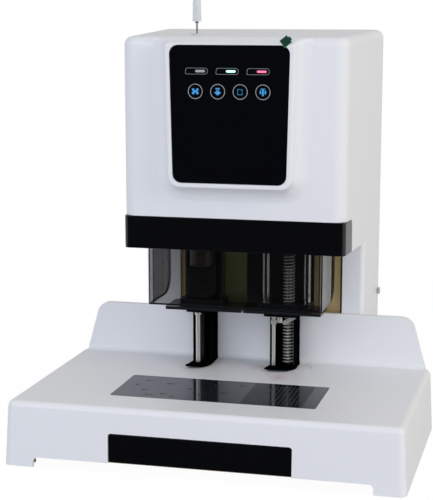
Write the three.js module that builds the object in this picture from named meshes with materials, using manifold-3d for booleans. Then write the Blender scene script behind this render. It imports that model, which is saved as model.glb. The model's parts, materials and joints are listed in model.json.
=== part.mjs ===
// A counter-top voucher binding machine: a drill on the right, a hot riveter on the left.
// Lengths are in millimetres. +X is to the right, +Y to the back, +Z up.
// The origin is on the surface it stands on, below the middle of its footprint.
import * as THREE from "three";
import { mergeVertices } from "three/addons/utils/BufferGeometryUtils.js";
import Module from "manifold-3d";

const wasm = await Module();
wasm.setup();

// Driving sizes of the whole machine
const overall = { wide: 400, deep: 327, tall: 423.8 };
const gap = { seat: 0.3, slide: 0.3, cut: 2 };
const wall = { plastic: 3, sheet: 2 };
const arcSteps = 4;
const roundSteps = 24;
const bevelSteps = 3;
const slotSteps = 1;

const yFront = -overall.deep / 2;
const yBack = overall.deep / 2;

// The base and the low wall that the sheets are pushed against
const base = {
  tableTop: 66.3,
  lift: 1,
  cornerRadius: 7,
  topRadius: 6,
  draft: 3.5,
  columnDeep: 92.8,
  fenceThick: 6,
  fenceTop: 121.75,
  fenceEndInset: 5,
  fenceSlant: 16.2,
  fenceRadius: 14.5,
  skirtRise: 11,
  footWidth: 31,
  skirtRadius: 5,
  bossRadius: 5,
};
const yFenceBack = yBack - base.columnDeep;
const yFence = yFenceBack - base.fenceThick;
const baseHalf = overall.wide / 2;

// Both tools stand side by side in front of the fence; each is lifted by its own carriage
const tool = { drillX: 47, rivetX: -49, reach: 27.7 };
const lift = { drillX: 43.5, rivetX: -47 };
const yTool = yFence - tool.reach;

// The head and the column under it share one plan, wider at the back
const head = {
  reach: 62.7,
  halfFront: 116.4,
  halfBack: 127.6,
  bottom: 200.8,
  cornerRadius: 14,
  topRadius: 12,
  bandHeight: 33.9,
  bandWrap: 33,
  bandRadius: 7,
};
const yHead = yTool - head.reach;
const bandTop = head.bottom + head.bandHeight;
const column = { stripInner: 98.5, stripLeft: 83 };
const yColumn = yFenceBack + gap.seat;

// Steel levels
const frame = {
  plateRise: 9,
  sheet: wall.sheet,
  frontSetback: 13.7,
  headroom: 61.8,
  deckThick: 3,
  deckGap: 8,
};
const floorTop = frame.plateRise + frame.sheet;
const topDeckZ = overall.tall - frame.headroom;
const frameTop = topDeckZ + frame.deckThick;

// The drill's carriage and the rivet's carriage, at rest
const carriage = {
  halfWide: 33,
  thick: 30,
  rivetThick: 26,
  back: 12,
  drillRise: 204,
  rivetStep: 32,
  radius: 4,
};
const rivetRise = carriage.drillRise + carriage.rivetStep;
const lowDeckZ = carriage.drillRise - frame.deckGap;

const root = new THREE.Group();

// Turns a geometry into a solid for cutting and joining
function solid(geometry) {
  const bare = geometry.index ? geometry.toNonIndexed() : geometry.clone();
  bare.deleteAttribute("normal");
  bare.deleteAttribute("uv");
  const merged = mergeVertices(bare, 1e-4);
  const vertProperties = new Float32Array(merged.attributes.position.array);
  const triVerts = new Uint32Array(merged.index.array);
  return new wasm.Manifold(new wasm.Mesh({ numProp: 3, vertProperties, triVerts }));
}

function geometryOf(body) {
  const mesh = body.getMesh();
  const geometry = new THREE.BufferGeometry();
  geometry.setAttribute("position", new THREE.BufferAttribute(new Float32Array(mesh.vertProperties), 3));
  geometry.setIndex(new THREE.BufferAttribute(new Uint32Array(mesh.triVerts), 1));
  const flat = geometry.toNonIndexed();
  flat.computeVertexNormals();
  return flat;
}

function finish(color, roughness, metalness = 0, opacity = 1) {
  return new THREE.MeshStandardMaterial({ color, roughness, metalness, opacity, transparent: opacity < 1 });
}

function add(name, body, material) {
  const mesh = new THREE.Mesh(geometryOf(body), material);
  mesh.name = name;
  root.add(mesh);
}

function joined(bodies) {
  return bodies.reduce((sum, body) => sum.add(body));
}

// A box between two corners
function block(x0, x1, y0, y1, z0, z1) {
  const geometry = new THREE.BoxGeometry(x1 - x0, y1 - y0, z1 - z0);
  geometry.translate((x0 + x1) / 2, (y0 + y1) / 2, (z0 + z1) / 2);
  return solid(geometry);
}

// An upright cylinder
function post(x, y, z0, z1, radius, steps = roundSteps) {
  const geometry = new THREE.CylinderGeometry(radius, radius, z1 - z0, steps);
  geometry.rotateX(Math.PI / 2);
  geometry.translate(x, y, (z0 + z1) / 2);
  return solid(geometry);
}

// A turned piece: the profile lists radius and height, from axis to axis
function turned(x, y, profile, steps = roundSteps) {
  const points = profile.map(([radius, z]) => new THREE.Vector2(radius, z));
  const geometry = new THREE.LatheGeometry(points, steps);
  geometry.rotateX(Math.PI / 2);
  geometry.translate(x, y, 0);
  return rightWayOut(geometry);
}

// A solid whose faces look outwards, whichever way round they were listed
function rightWayOut(geometry) {
  const body = solid(geometry);
  if (body.volume() > 0) return body;
  const index = Array.from(geometry.index.array);
  for (let i = 0; i < index.length; i += 3) [index[i], index[i + 1]] = [index[i + 1], index[i]];
  geometry.setIndex(index);
  return solid(geometry);
}

// An outline through corner points, each rounded by its own radius
function outline(points, radii, steps = arcSteps) {
  const round = [];
  points.forEach((here, i) => {
    const before = points[(i + points.length - 1) % points.length];
    const after = points[(i + 1) % points.length];
    const corner = new THREE.Vector2(...here);
    const back = new THREE.Vector2(...before).sub(corner).normalize();
    const on = new THREE.Vector2(...after).sub(corner).normalize();
    const radius = Array.isArray(radii) ? radii[i] : radii;
    if (radius <= 0) {
      round.push(corner);
      return;
    }
    const half = Math.acos(back.dot(on)) / 2;
    const middle = back.clone().add(on).normalize().multiplyScalar(radius / Math.sin(half)).add(corner);
    const start = corner.clone().addScaledVector(back, radius / Math.tan(half)).sub(middle);
    const sweep = (Math.PI - 2 * half) * Math.sign(on.cross(back));
    for (let k = 0; k <= steps; k++) {
      round.push(start.clone().rotateAround(new THREE.Vector2(), (sweep * k) / steps).add(middle));
    }
  });
  return new THREE.Shape(round);
}

function rectangle(x0, x1, y0, y1, radius, steps = arcSteps) {
  return outline([[x0, y0], [x1, y0], [x1, y1], [x0, y1]], radius, steps);
}

function circle(x, y, radius) {
  const curve = new THREE.EllipseCurve(x, y, radius, radius, 0, 2 * Math.PI, true);
  return new THREE.Path(curve.getPoints(roundSteps).slice(1));
}

// Extrudes an outline of X and Y upwards
function upright(shape, z0, z1, round = 0) {
  const geometry = new THREE.ExtrudeGeometry(shape, {
    depth: z1 - z0 - 2 * round,
    bevelEnabled: round > 0,
    bevelThickness: round,
    bevelSize: round,
    bevelOffset: -round,
    bevelSegments: bevelSteps,
  });
  geometry.translate(0, 0, z0 + round);
  return geometry;
}

// Extrudes an outline of X and Z backwards
function facing(shape, y0, y1) {
  const geometry = new THREE.ExtrudeGeometry(shape, { depth: y1 - y0, bevelEnabled: false });
  geometry.rotateX(Math.PI / 2);
  geometry.translate(0, y1, 0);
  return solid(geometry);
}

// Extrudes an outline of Y and Z to the right
function alongX(shape, length) {
  const geometry = new THREE.ExtrudeGeometry(shape, { depth: length, bevelEnabled: false });
  const right = new THREE.Vector3(1, 0, 0);
  const back = new THREE.Vector3(0, 1, 0);
  const up = new THREE.Vector3(0, 0, 1);
  geometry.applyMatrix4(new THREE.Matrix4().makeBasis(back, up, right));
  return geometry;
}

function sideways(shape, x0, x1) {
  const geometry = alongX(shape, x1 - x0);
  geometry.translate(x0, 0, 0);
  return solid(geometry);
}

const white = finish(0xdcdee3, 0.38);
const black = finish(0x0b0c10, 0.22);
const zinc = finish(0xb4a76c, 0.38, 0.85);
const steel = finish(0xb9bcc0, 0.3, 0.95);
const chrome = finish(0xd6d9dc, 0.1, 1);
const aluminium = finish(0x9a9da1, 0.42, 0.9);
const brass = finish(0xc49a4e, 0.3, 0.9);
const darkSteel = finish(0x2c2e32, 0.4, 0.6);
const motorGrey = finish(0x6e7074, 0.45, 0.7);

// Base cover: table, skirt and fence in one moulding
function leaned(geometry) {
  const place = geometry.attributes.position;
  for (let i = 0; i < place.count; i++) {
    const inset = (base.draft * place.getZ(i)) / base.tableTop;
    place.setX(i, place.getX(i) * (1 - inset / baseHalf));
    place.setY(i, yFenceBack + (place.getY(i) - yFenceBack) * (1 - inset / (yFenceBack - yFront)));
  }
  return geometry;
}

function baseBlock(inset, z0, z1) {
  const x = baseHalf - inset;
  const plan = rectangle(-x, x, yFront + inset, yFenceBack - inset, base.cornerRadius - inset);
  const round = base.topRadius - inset;
  return solid(leaned(upright(plan, z0 - 2 * round, z1, round)));
}

const worktop = { halfWide: 104.5, setback: 48, ahead: 70.5, thick: 1.6, radius: 2.5 };
const pad = { radius: 18, thick: 5, offset: 7 };
const anvil = { radius: 8, flange: 12, flangeThick: 3 };
const drawer = {
  halfWide: 91,
  bottom: 11.5,
  top: 40.4,
  frontThick: 5,
  ahead: 50.5,
  wall: 2,
  radius: 3,
  trayHalf: 87,
  trayTop: 36,
  trayRise: 1.6,
};
const xPad = tool.drillX + pad.offset;
const yDrawerBack = yTool - drawer.ahead;
const cornerSteps = 3;
const studSteps = 16;

function baseCover() {
  const below = base.lift - 4 * base.topRadius;
  const inner = base.tableTop - wall.plastic;
  const over = base.tableTop + gap.cut;
  const front = yFront - gap.cut;
  const back = yFenceBack + gap.cut;
  let body = baseBlock(0, base.lift, base.tableTop).add(fenceWall(inner));
  body = body.subtract(baseBlock(wall.plastic, base.lift, inner));
  for (const x of bossX) {
    for (const y of bossY) {
      body = body.add(post(x, y, floorTop + gap.seat, inner + gap.cut / 2, base.bossRadius, studSteps));
    }
  }
  const inFoot = baseHalf - base.footWidth;
  const rise = rectangle(-inFoot, inFoot, below, base.skirtRise, base.skirtRadius);
  const slide = drawer.halfWide + gap.slide;
  const mouth = rectangle(-slide, slide, below, drawer.top + gap.slide, drawer.radius);
  const passage = column.stripInner;
  const far = baseHalf + gap.cut;
  const cuts = [
    facing(rise, front, yFront + 2 * wall.plastic),
    facing(mouth, front, yFront + 3 * wall.plastic),
    block(-passage, passage, yFenceBack - 2 * wall.plastic, back, below, floorTop + gap.cut),
    solid(upright(worktopPlan(gap.seat), pocketFloor, over)),
    post(xPad, yTool, below, over, pad.radius + gap.slide),
    post(tool.rivetX, yTool, below, over, anvil.radius + gap.slide),
    block(-far, far, front, back, below - gap.cut, base.lift),
  ];
  for (const cut of cuts) body = body.subtract(cut);
  add("base_cover", body, white);
}

// The low wall behind the table, its ends cut slanting
function fenceWall(z0) {
  const foot = baseHalf - base.draft - base.fenceEndInset;
  const top = foot - base.fenceSlant;
  const corners = [[-foot, z0], [foot, z0], [top, base.fenceTop], [-top, base.fenceTop]];
  return facing(outline(corners, [0, 0, base.fenceRadius, base.fenceRadius]), yFence, yFenceBack);
}

const boss = { inset: 18 };
const bossX = [-baseHalf + boss.inset, baseHalf - boss.inset];
const bossY = [yFront + boss.inset, yFence - boss.inset];
const pocketFloor = base.tableTop - worktop.thick - gap.seat;

function worktopPlan(grow) {
  const x = worktop.halfWide + grow;
  const y0 = yFront + worktop.setback;
  const y1 = yTool - worktop.ahead;
  return rectangle(-x, x, y0 - grow, y1 + grow, worktop.radius + grow);
}

function worktopPanel() {
  const z0 = pocketFloor + gap.seat;
  add("worktop_panel", solid(upright(worktopPlan(0), z0, base.tableTop)), finish(0x14171c, 0.08));
}

// Base plate on four rubber feet
const plate = { inset: 9, columnInset: 7, radius: 4 };
const foot = { radius: 9, topRadius: 7, inset: 18 };

function basePlate() {
  const half = baseHalf - plate.inset;
  const neck = column.stripInner - 2 * gap.seat;
  const y0 = yFront + plate.inset;
  const y1 = yFence - gap.seat;
  const y2 = yBack - plate.columnInset;
  const edge = [[-half, y0], [half, y0], [half, y1], [neck, y1]];
  edge.push([neck, y2], [-neck, y2], [-neck, y1], [-half, y1]);
  const r = plate.radius;
  const plan = outline(edge, [r, r, r, 0, r, r, 0, r]);
  const sheet = solid(upright(plan, frame.plateRise, floorTop));
  add("base_plate", sheet.add(drawerRail(-1)).add(drawerRail(1)), zinc);
}

function rubberFeet() {
  const top = frame.plateRise - gap.seat;
  const profile = [[0, 0], [foot.radius, 0], [foot.topRadius, top], [0, top]];
  const backX = column.stripInner - foot.radius - plate.radius;
  const spots = {
    foot_front_left: [-baseHalf + foot.inset, yFront + foot.inset],
    foot_front_right: [baseHalf - foot.inset, yFront + foot.inset],
    foot_rear_left: [-backX, yBack - foot.inset],
    foot_rear_right: [backX, yBack - foot.inset],
  };
  for (const [name, [x, y]] of Object.entries(spots)) {
    add(name, turned(x, y, profile), finish(0x1b1b1c, 0.85));
  }
}

// Chip drawer with its flush front; its tray slides on the base plate between two rails
function chipDrawer() {
  const y0 = yFront + drawer.frontThick - gap.seat;
  const y1 = yDrawerBack;
  const trayFloor = drawer.bottom + drawer.trayRise;
  let tray = block(-drawer.trayHalf, drawer.trayHalf, y0, y1, trayFloor, drawer.trayTop);
  const w = drawer.wall;
  const x = drawer.trayHalf - w;
  tray = tray.subtract(block(-x, x, y0 + w, y1 - w, trayFloor + w, drawer.trayTop + gap.cut));
  const wide = drawer.halfWide;
  const corners = [0, 0, drawer.radius, drawer.radius];
  const face = rectangle(-wide, wide, drawer.bottom, drawer.top, corners);
  const lean = base.draft / base.tableTop;
  const front = facing(face, yFront + drawer.top * lean, yFront + drawer.frontThick);
  add("chip_drawer", tray.add(front), finish(0x0d0e12, 0.3));
}

// A rail bent up from the base plate beside the tray
const rail = { thick: 1.2, tall: 14, grip: 6 };

function drawerRail(dir) {
  const y0 = yFront + drawer.frontThick + rail.grip;
  const y1 = yDrawerBack - rail.grip;
  const outer = drawer.trayHalf + gap.slide + rail.thick;
  const middle = dir * (outer - rail.thick / 2);
  const x0 = middle - rail.thick / 2;
  return block(x0, x0 + rail.thick, y0, y1, floorTop - frame.sheet / 2, floorTop + rail.tall);
}

// Under the table: the turnable cutting pad and the hot anvil on their posts
const pillar = { radius: 9, flange: 16, flangeThick: 4, cup: 3 };

function cuttingPad() {
  const z0 = base.tableTop - pad.thick;
  add("cutting_pad", post(xPad, yTool, z0, base.tableTop, pad.radius), finish(0xe6e4da, 0.55));
}

// A steel strip with two pillars: one carries the cutting pad, one the anvil
function toolBed(anvilSeat) {
  const z0 = floorTop + gap.seat;
  const seat = base.tableTop - pad.thick - gap.slide;
  const strip = rectangle(
    tool.rivetX - pillar.flange,
    xPad + pillar.flange,
    yTool - pillar.flange,
    yTool + pillar.flange,
    pillar.flange / 2,
  );
  const cup = post(xPad, yTool, seat - pillar.cup, seat, pad.radius);
  const padPillar = post(xPad, yTool, z0, seat, pillar.radius);
  const anvilPillar = post(tool.rivetX, yTool, z0, anvilSeat, pillar.radius);
  const sheet = solid(upright(strip, z0, z0 + pillar.flangeThick));
  add("tool_bed", joined([sheet, cup, padPillar, anvilPillar]), steel);
}

const heater = { half: 14, tall: 22, drop: 8 };

function anvilParts() {
  const top = base.tableTop - gap.seat;
  const blockTop = base.tableTop - heater.drop;
  const profile = [
    [0, blockTop + gap.seat],
    [anvil.flange, blockTop + gap.seat],
    [anvil.flange, blockTop + gap.seat + anvil.flangeThick],
    [anvil.radius, blockTop + gap.seat + anvil.flangeThick],
    [anvil.radius, top],
    [0, top],
  ];
  add("rivet_anvil", turned(tool.rivetX, yTool, profile), brass);
  const h = heater.half;
  const blockFoot = blockTop - heater.tall;
  const x = tool.rivetX;
  add("anvil_heater", block(x - h, x + h, yTool - h, yTool + h, blockFoot, blockTop), aluminium);
  toolBed(blockFoot - gap.seat);
}

// Steel frame: two side plates, a back plate and a top deck
const side = {
  rightX: 96,
  leftX: -column.stripLeft,
  rightFlange: 29,
  leftFlange: 7,
  setback: 4,
  depth: 33,
  headGap: 5.2,
};
const sideFoot = head.bottom + side.headGap;
const ySide = yColumn + side.setback;
const ySideBack = ySide + side.depth;

function sidePlate(name, outerX, inward, flange) {
  const t = frame.sheet;
  const yNose = yHead + frame.frontSetback;
  const z0 = floorTop + gap.seat;
  const profile = [[ySide, z0], [ySideBack, z0], [ySideBack, frameTop], [yNose, frameTop]];
  profile.push([yNose, sideFoot], [ySide, sideFoot]);
  const innerX = outerX + inward * t;
  const web = sideways(outline(profile, 0), Math.min(outerX, innerX), Math.max(outerX, innerX));
  const flangeX = outerX + inward * flange;
  const lip0 = Math.min(outerX, flangeX);
  const lip1 = Math.max(outerX, flangeX);
  const lip = block(lip0, lip1, ySide, ySide + t, z0, lowDeckZ);
  add(name, web.add(lip), zinc);
}

function frameBack() {
  const x0 = side.leftX + frame.sheet + gap.seat;
  const x1 = side.rightX - frame.sheet - gap.seat;
  const z0 = floorTop + gap.seat;
  const y1 = ySideBack;
  add("frame_back", block(x0, x1, y1 - frame.sheet, y1, z0, frameTop), zinc);
}

const guide = { radius: 4, offset: 22.4, setback: 16 };
const screw = { radius: 4, root: 3.1, pitch: 8, setback: 1.5 };
const yGuide = ySideBack - guide.setback;
const yScrew = yColumn + screw.setback;

function topDeck() {
  const x0 = side.leftX + frame.sheet + gap.seat;
  const x1 = side.rightX - frame.sheet - gap.seat;
  const yRear = ySideBack - frame.sheet - gap.seat;
  const yNose = yHead + frame.frontSetback;
  const z0 = topDeckZ;
  const z1 = z0 + frame.deckThick;
  let top = block(x0, x1, yNose, yRear, z0, z1);
  const low = z0 - gap.cut;
  const high = z1 + gap.cut;
  for (const x of [lift.drillX, lift.rivetX]) {
    top = top.subtract(post(x, yScrew, low, high, screw.radius + gap.slide));
  }
  top = top.subtract(post(feed.x, yFeed, low, high, feed.tube + gap.seat));
  add("top_deck", top, zinc);
}

// One black sheet behind both tools, with a notch between them
const shield = { thick: 1.5, drillLeft: -8, rivetRight: -38, notch: 90 };

function toolShield() {
  const z0 = floorTop + gap.seat;
  const z1 = lowDeckZ;
  const x0 = side.leftX + side.leftFlange + gap.seat;
  const x1 = side.rightX - side.rightFlange - gap.seat;
  const edge = [[x0, z0], [x1, z0], [x1, z1], [shield.drillLeft, z1], [shield.drillLeft, shield.notch]];
  edge.push([shield.rivetRight, shield.notch], [shield.rivetRight, z1], [x0, z1]);
  add("tool_shield", facing(outline(edge, 0), ySide, ySide + shield.thick), darkSteel);
}

// Head cover: the head, and the column's two side walls, in one moulding
function headPlan(inset) {
  const slope = (head.halfBack - head.halfFront) / (yBack - yHead);
  const front = head.halfFront + inset * slope - inset;
  const back = head.halfBack - inset * slope - inset;
  const radius = head.cornerRadius - inset;
  const y0 = yHead + inset;
  const y1 = yBack - inset;
  return outline([[-front, y0], [front, y0], [back, y1], [-back, y1]], radius);
}

function headBlock(inset, z0, z1) {
  const round = head.topRadius - inset;
  return solid(upright(headPlan(inset), z0, z1, round));
}

function bandZone(grow) {
  const y1 = yHead + head.bandWrap + grow;
  const z1 = bandTop + grow;
  const reach = 2 * head.bandHeight;
  const y0 = yHead - reach;
  const z0 = head.bottom - reach;
  const zone = outline([[y0, z0], [y1, z0], [y1, z1], [y0, z1]], [0, 0, head.bandRadius, 0]);
  return sideways(zone, -baseHalf, baseHalf);
}

const rear = { frame: 15.6, foot: 10, drop: 17.8, radius: 6 };
const rearTop = overall.tall - rear.drop;

function headCover() {
  const deep = overall.tall - wall.plastic;
  const far = overall.wide;
  const front = yHead - far;
  const strip = column.stripInner;
  const stripBack = yColumn + wall.plastic;
  let inside = headBlock(wall.plastic, -4 * head.topRadius, deep);
  inside = inside.subtract(block(-far, far, front, stripBack, -far, head.bottom + gap.cut));
  const behind = stripBack + gap.cut;
  const over = head.bottom + 2 * gap.cut;
  inside = inside.add(block(-strip, strip, yHead, behind, -far, base.tableTop));
  inside = inside.add(block(-strip, strip, yHead, yColumn, -far, over));
  inside = inside.add(block(side.leftX, strip, yHead, behind, -far, over));
  const x = head.halfBack - rear.frame;
  const mouth = rectangle(-x, x, rear.foot, rearTop, rear.radius);
  const cuts = [
    block(-far, far, front, yColumn, -far, head.bottom),
    block(-far, far, front, yBack + far, -far, base.lift),
    inside,
    bandZone(gap.seat),
    facing(mouth, yBack - 2 * wall.plastic, yBack + gap.cut),
    post(feed.x, yFeed, deep - gap.cut, overall.tall + gap.cut, feed.cap + gap.seat),
  ];
  let body = headBlock(0, -2 * head.topRadius, overall.tall);
  for (const cut of cuts) body = body.subtract(cut);
  add("head_cover", body, white);
}

function frontBand() {
  const outer = headBlock(0, -2 * head.topRadius, overall.tall);
  const ring = outer.subtract(headBlock(wall.plastic, -4 * head.topRadius, overall.tall));
  const cut = block(-baseHalf, baseHalf, yHead - gap.cut, yBack, head.bottom, overall.tall);
  add("front_band", ring.intersect(bandZone(0)).intersect(cut), finish(0x0d0f14, 0.25));
}

// Rear cover with its vents, the power inlet and the rocker switch
const vent = { wide: 46, tall: 3, pitch: 9, count: 8, x: 58, drop: 106 };
const inlet = {
  x: -62,
  z: 46,
  halfWide: 15,
  halfTall: 12,
  deep: 22,
  cavityHalf: 11.5,
  cavityTall: 8,
  cavityDeep: 15,
};
const rocker = { x: -20, z: 46, halfWide: 7, halfTall: 10.5, thick: 5, tilt: 9, crown: 2.4 };

function slots() {
  const cuts = [];
  for (const sideX of [-vent.x, vent.x]) {
    for (let i = 0; i < vent.count; i++) {
      const z = rearTop - vent.drop + i * vent.pitch;
      const x0 = sideX - vent.wide / 2;
      const hole = rectangle(x0, x0 + vent.wide, z, z + vent.tall, vent.tall / 3, slotSteps);
      cuts.push(facing(hole, yBack - 2 * wall.plastic, yBack + gap.cut));
    }
  }
  return joined(cuts);
}

// A cylinder that lies along Y
function pin(x, z, y0, y1, radius, steps = studSteps) {
  const geometry = new THREE.CylinderGeometry(radius, radius, y1 - y0, steps);
  geometry.translate(x, (y0 + y1) / 2, z);
  return solid(geometry);
}

function rearCover() {
  const x = head.halfBack - rear.frame - gap.seat;
  const y0 = yBack - wall.plastic;
  const sheet = facing(rectangle(-x, x, rear.foot + gap.seat, rearTop - gap.seat, rear.radius), y0, yBack);
  const near = y0 - gap.cut;
  const far = yBack + gap.cut;
  const iw = inlet.halfWide + gap.seat;
  const it = inlet.halfTall + gap.seat;
  const forInlet = block(inlet.x - iw, inlet.x + iw, near, far, inlet.z - it, inlet.z + it);
  const rw = rocker.halfWide + gap.seat;
  const rt = rocker.halfTall + gap.seat + rocker.crown / 2;
  const forRocker = block(rocker.x - rw, rocker.x + rw, near, far, rocker.z - rt, rocker.z + rt);
  add("rear_cover", sheet.subtract(slots()).subtract(forInlet).subtract(forRocker), white);
}

const sideScrew = { inset: 18.5, z: 134, radius: 4, proud: 2.4 };

function sideScrews() {
  const slope = (head.halfBack - head.halfFront) / (yBack - yHead);
  const y = yBack - sideScrew.inset;
  const face = head.halfFront + (y - yHead) * slope + slope * sideScrew.radius;
  for (const [name, dir] of [["side_screw_left", -1], ["side_screw_right", 1]]) {
    const { radius, proud } = sideScrew;
    const geometry = new THREE.CylinderGeometry(radius, radius, proud, studSteps);
    geometry.rotateZ(Math.PI / 2);
    geometry.translate(dir * (face + gap.seat + proud / 2), y, sideScrew.z);
    add(name, solid(geometry), steel);
  }
}

const prong = { half: 1, tall: 3, deep: 8, spread: 6 };

function powerInlet() {
  const { x, z, halfWide: w, halfTall: t } = inlet;
  let body = block(x - w, x + w, yBack - inlet.deep, yBack, z - t, z + t);
  const cw = inlet.cavityHalf;
  const ct = inlet.cavityTall;
  const floor = yBack - inlet.cavityDeep;
  body = body.subtract(block(x - cw, x + cw, floor, yBack + gap.cut, z - ct, z + ct));
  for (const [px, pz] of [[-prong.spread, -prong.half], [0, prong.half], [prong.spread, -prong.half]]) {
    const x0 = x + px - prong.half;
    const z0 = z + pz - prong.tall / 2;
    const x1 = x0 + 2 * prong.half;
    body = body.add(block(x0, x1, floor - gap.seat, floor + prong.deep, z0, z0 + prong.tall));
  }
  add("power_inlet", body, finish(0x141416, 0.5));
}

function powerSwitch() {
  const t = rocker.halfTall;
  const profile = [[-rocker.thick, -t], [0, -t], [-rocker.crown, 0], [0, t], [-rocker.thick, t]];
  const geometry = alongX(outline(profile, 0), 2 * rocker.halfWide);
  geometry.translate(-rocker.halfWide, 0, 0);
  geometry.rotateX(THREE.MathUtils.degToRad(rocker.tilt));
  geometry.translate(rocker.x, yBack - rocker.crown, rocker.z);
  add("power_switch", solid(geometry), finish(0x101012, 0.4));
}

// Smoked guard round the tools
const guard = {
  halfWide: 92.5,
  front: 8.4,
  backGap: 13.3,
  deep: 61,
  above: 2.8,
  thick: 3,
  radius: 20,
  flange: 2.4,
};

function guardPiece() {
  const y0 = yHead + guard.front;
  const y1 = yColumn - guard.backGap;
  const w = guard.halfWide;
  const t = guard.thick;
  const bottom = head.bottom - guard.deep;
  const top = head.bottom + guard.above;
  let body = block(-w, w, y0, y1, bottom, top);
  body = body.subtract(block(-w + t, w - t, y0 + t, y1 + gap.cut, bottom - gap.cut, top + gap.cut));
  const keep = outline([[y0, bottom], [y1, bottom], [y1, top], [y0, top]], [0, guard.radius, 0, 0]);
  body = body.intersect(sideways(keep, -w, w));
  const flange = block(-w, w, yHead + wall.plastic + gap.seat, y0 + t / 2, top - guard.flange, top);
  add("guard", body.add(flange), finish(0x4a4640, 0.06, 0, 0.45));
}

// Panel pod on the front of the head, with the touch panel, keys and lights
const pod = {
  proud: 16,
  topHalf: 67.3,
  bottomHalf: 64.2,
  drop: 11,
  aboveBand: 32.5,
  radius: 12,
  topRadius: 4,
  lip: 5.6,
  topLip: 2.1,
  ledge: 3,
  cove: 18,
  topRise: 5.5,
  feather: 0.8,
};
const panel = { thick: 2, recess: 0.5, radius: 9 };
const yPod = yHead - pod.proud;
const podTop = overall.tall - pod.drop;
const podBottom = bandTop + pod.aboveBand;
const panelTop = podTop - pod.topLip;
const coveSteps = 5;

function podOutline(inset, radius, rise = inset - pod.lip + pod.topLip) {
  const top = pod.topHalf - inset;
  const bottom = pod.bottomHalf - inset;
  const z0 = podBottom + inset;
  const z1 = podTop - rise;
  return outline([[-bottom, z0], [bottom, z0], [top, z1], [-top, z1]], radius);
}

// The raised block: hollow flanks and a sloping top that run out into the head
function podBlock() {
  const y1 = yHead - gap.seat;
  const swept = y1 - pod.feather;
  const rings = [];
  for (let k = 0; k <= coveSteps; k++) {
    const angle = (Math.PI / 2) * (k / coveSteps);
    const out = pod.cove * (1 - Math.cos(angle));
    const up = pod.topRise * Math.sin(angle);
    const y = yPod + (swept - yPod) * Math.sin(angle);
    const low = pod.radius + out;
    rings.push(ringAt(podOutline(-out, [low, low, pod.topRadius, pod.topRadius], -up), y));
  }
  rings.push(rings[coveSteps].map(([x, , z]) => [x, y1, z]));
  return lofted(rings);
}

function ringAt(shape, y) {
  return shape.getPoints().map((point) => [point.x, y, point.y]);
}

// A closed skin through rings of equally many points
function lofted(rings) {
  const count = rings[0].length;
  const index = [];
  for (let r = 0; r < rings.length - 1; r++) {
    for (let k = 0; k < count; k++) {
      const a = r * count + k;
      const b = r * count + ((k + 1) % count);
      index.push(a, b, a + count, b, b + count, a + count);
    }
  }
  const last = (rings.length - 1) * count;
  for (let k = 1; k < count - 1; k++) {
    index.push(0, k + 1, k);
    index.push(last, last + k, last + k + 1);
  }
  const geometry = new THREE.BufferGeometry();
  geometry.setAttribute("position", new THREE.Float32BufferAttribute(rings.flat(2), 3));
  geometry.setIndex(index);
  return rightWayOut(geometry);
}

function panelPod() {
  let body = podBlock();
  const seat = yPod + panel.recess + panel.thick + gap.seat;
  body = body.subtract(facing(podOutline(pod.lip - gap.seat, panel.radius), yPod - gap.cut, seat));
  const window = podOutline(pod.lip + pod.ledge, panel.radius - pod.ledge);
  body = body.subtract(facing(window, yPod, yHead + gap.cut));
  add("panel_pod", body, white);
}

const key = { radius: 7.6, pitch: 23.1, drop: 45.7, travel: 0.4, spare: 0.2 };
const light = {
  halfWide: 5.4,
  halfTall: 1.75,
  pitch: 31.5,
  drop: 25.6,
  shift: 4.3,
  count: 3,
  roundness: 0.8,
};
const keyNames = ["key_bind", "key_lower", "key_laser", "key_drill"];
const boardBack = { gap: 3.4, thick: 1.6, inset: 4 };
const keyFlange = { radius: 9, thick: 1, stem: 2.5 };

function lightShape(i, grow) {
  const x = (i - 1) * light.pitch + light.shift;
  const z = panelTop - light.drop;
  const w = light.halfWide + grow;
  const t = light.halfTall + grow;
  return rectangle(x - w, x + w, z - t, z + t, t * light.roundness, cornerSteps);
}

function controlPanel() {
  const y0 = yPod + panel.recess;
  const y1 = y0 + panel.thick;
  const board0 = y1 + boardBack.gap;
  const keyX = keyNames.map((_, i) => (i - (keyNames.length - 1) / 2) * key.pitch);
  const z = panelTop - key.drop;
  let body = facing(podOutline(pod.lip, panel.radius), y0, y1);
  const inset = pod.lip + pod.ledge + gap.seat + boardBack.inset;
  let backBoard = facing(podOutline(inset, boardBack.inset), board0, board0 + boardBack.thick);
  keyX.forEach((x, i) => {
    body = body.subtract(pin(x, z, y0 - gap.cut, y1 + gap.cut, key.radius + gap.slide, roundSteps));
    const flange0 = y1 + gap.slide;
    const cap = pin(x, z, y0, flange0 + keyFlange.thick, key.radius, roundSteps);
    const flange = pin(x, z, flange0, flange0 + keyFlange.thick, keyFlange.radius, roundSteps);
    const stem = pin(x, z, flange0, board0 - key.travel - key.spare, keyFlange.stem);
    add(keyNames[i], joined([cap, flange, stem]), finish(0x0a0c12, 0.08));
  });
  for (let i = 0; i < light.count; i++) {
    body = body.subtract(facing(lightShape(i, gap.seat), y0 - gap.cut, y1 + gap.cut));
    backBoard = backBoard.add(facing(lightShape(i, 0), y0, board0 + boardBack.thick / 2));
  }
  add("control_panel", body, finish(0x08090d, 0.06));
  add("panel_board", backBoard, finish(0xdfe8ea, 0.3));
}

// Feed tube and its rod, which stands out of the top of the head
const feed = {
  x: -50,
  setback: 48.4,
  drop: 44,
  tube: 4.5,
  bore: 2,
  cap: 6,
  capThick: 1.6,
  rod: 1,
  rodRise: 6,
  knob: 4,
  knobFoot: 4.6,
  knobRise: 9.6,
  knobTall: 23,
  ferrule: 2.2,
  ferruleTall: 1.6,
};
const yFeed = yHead + feed.setback;

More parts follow.
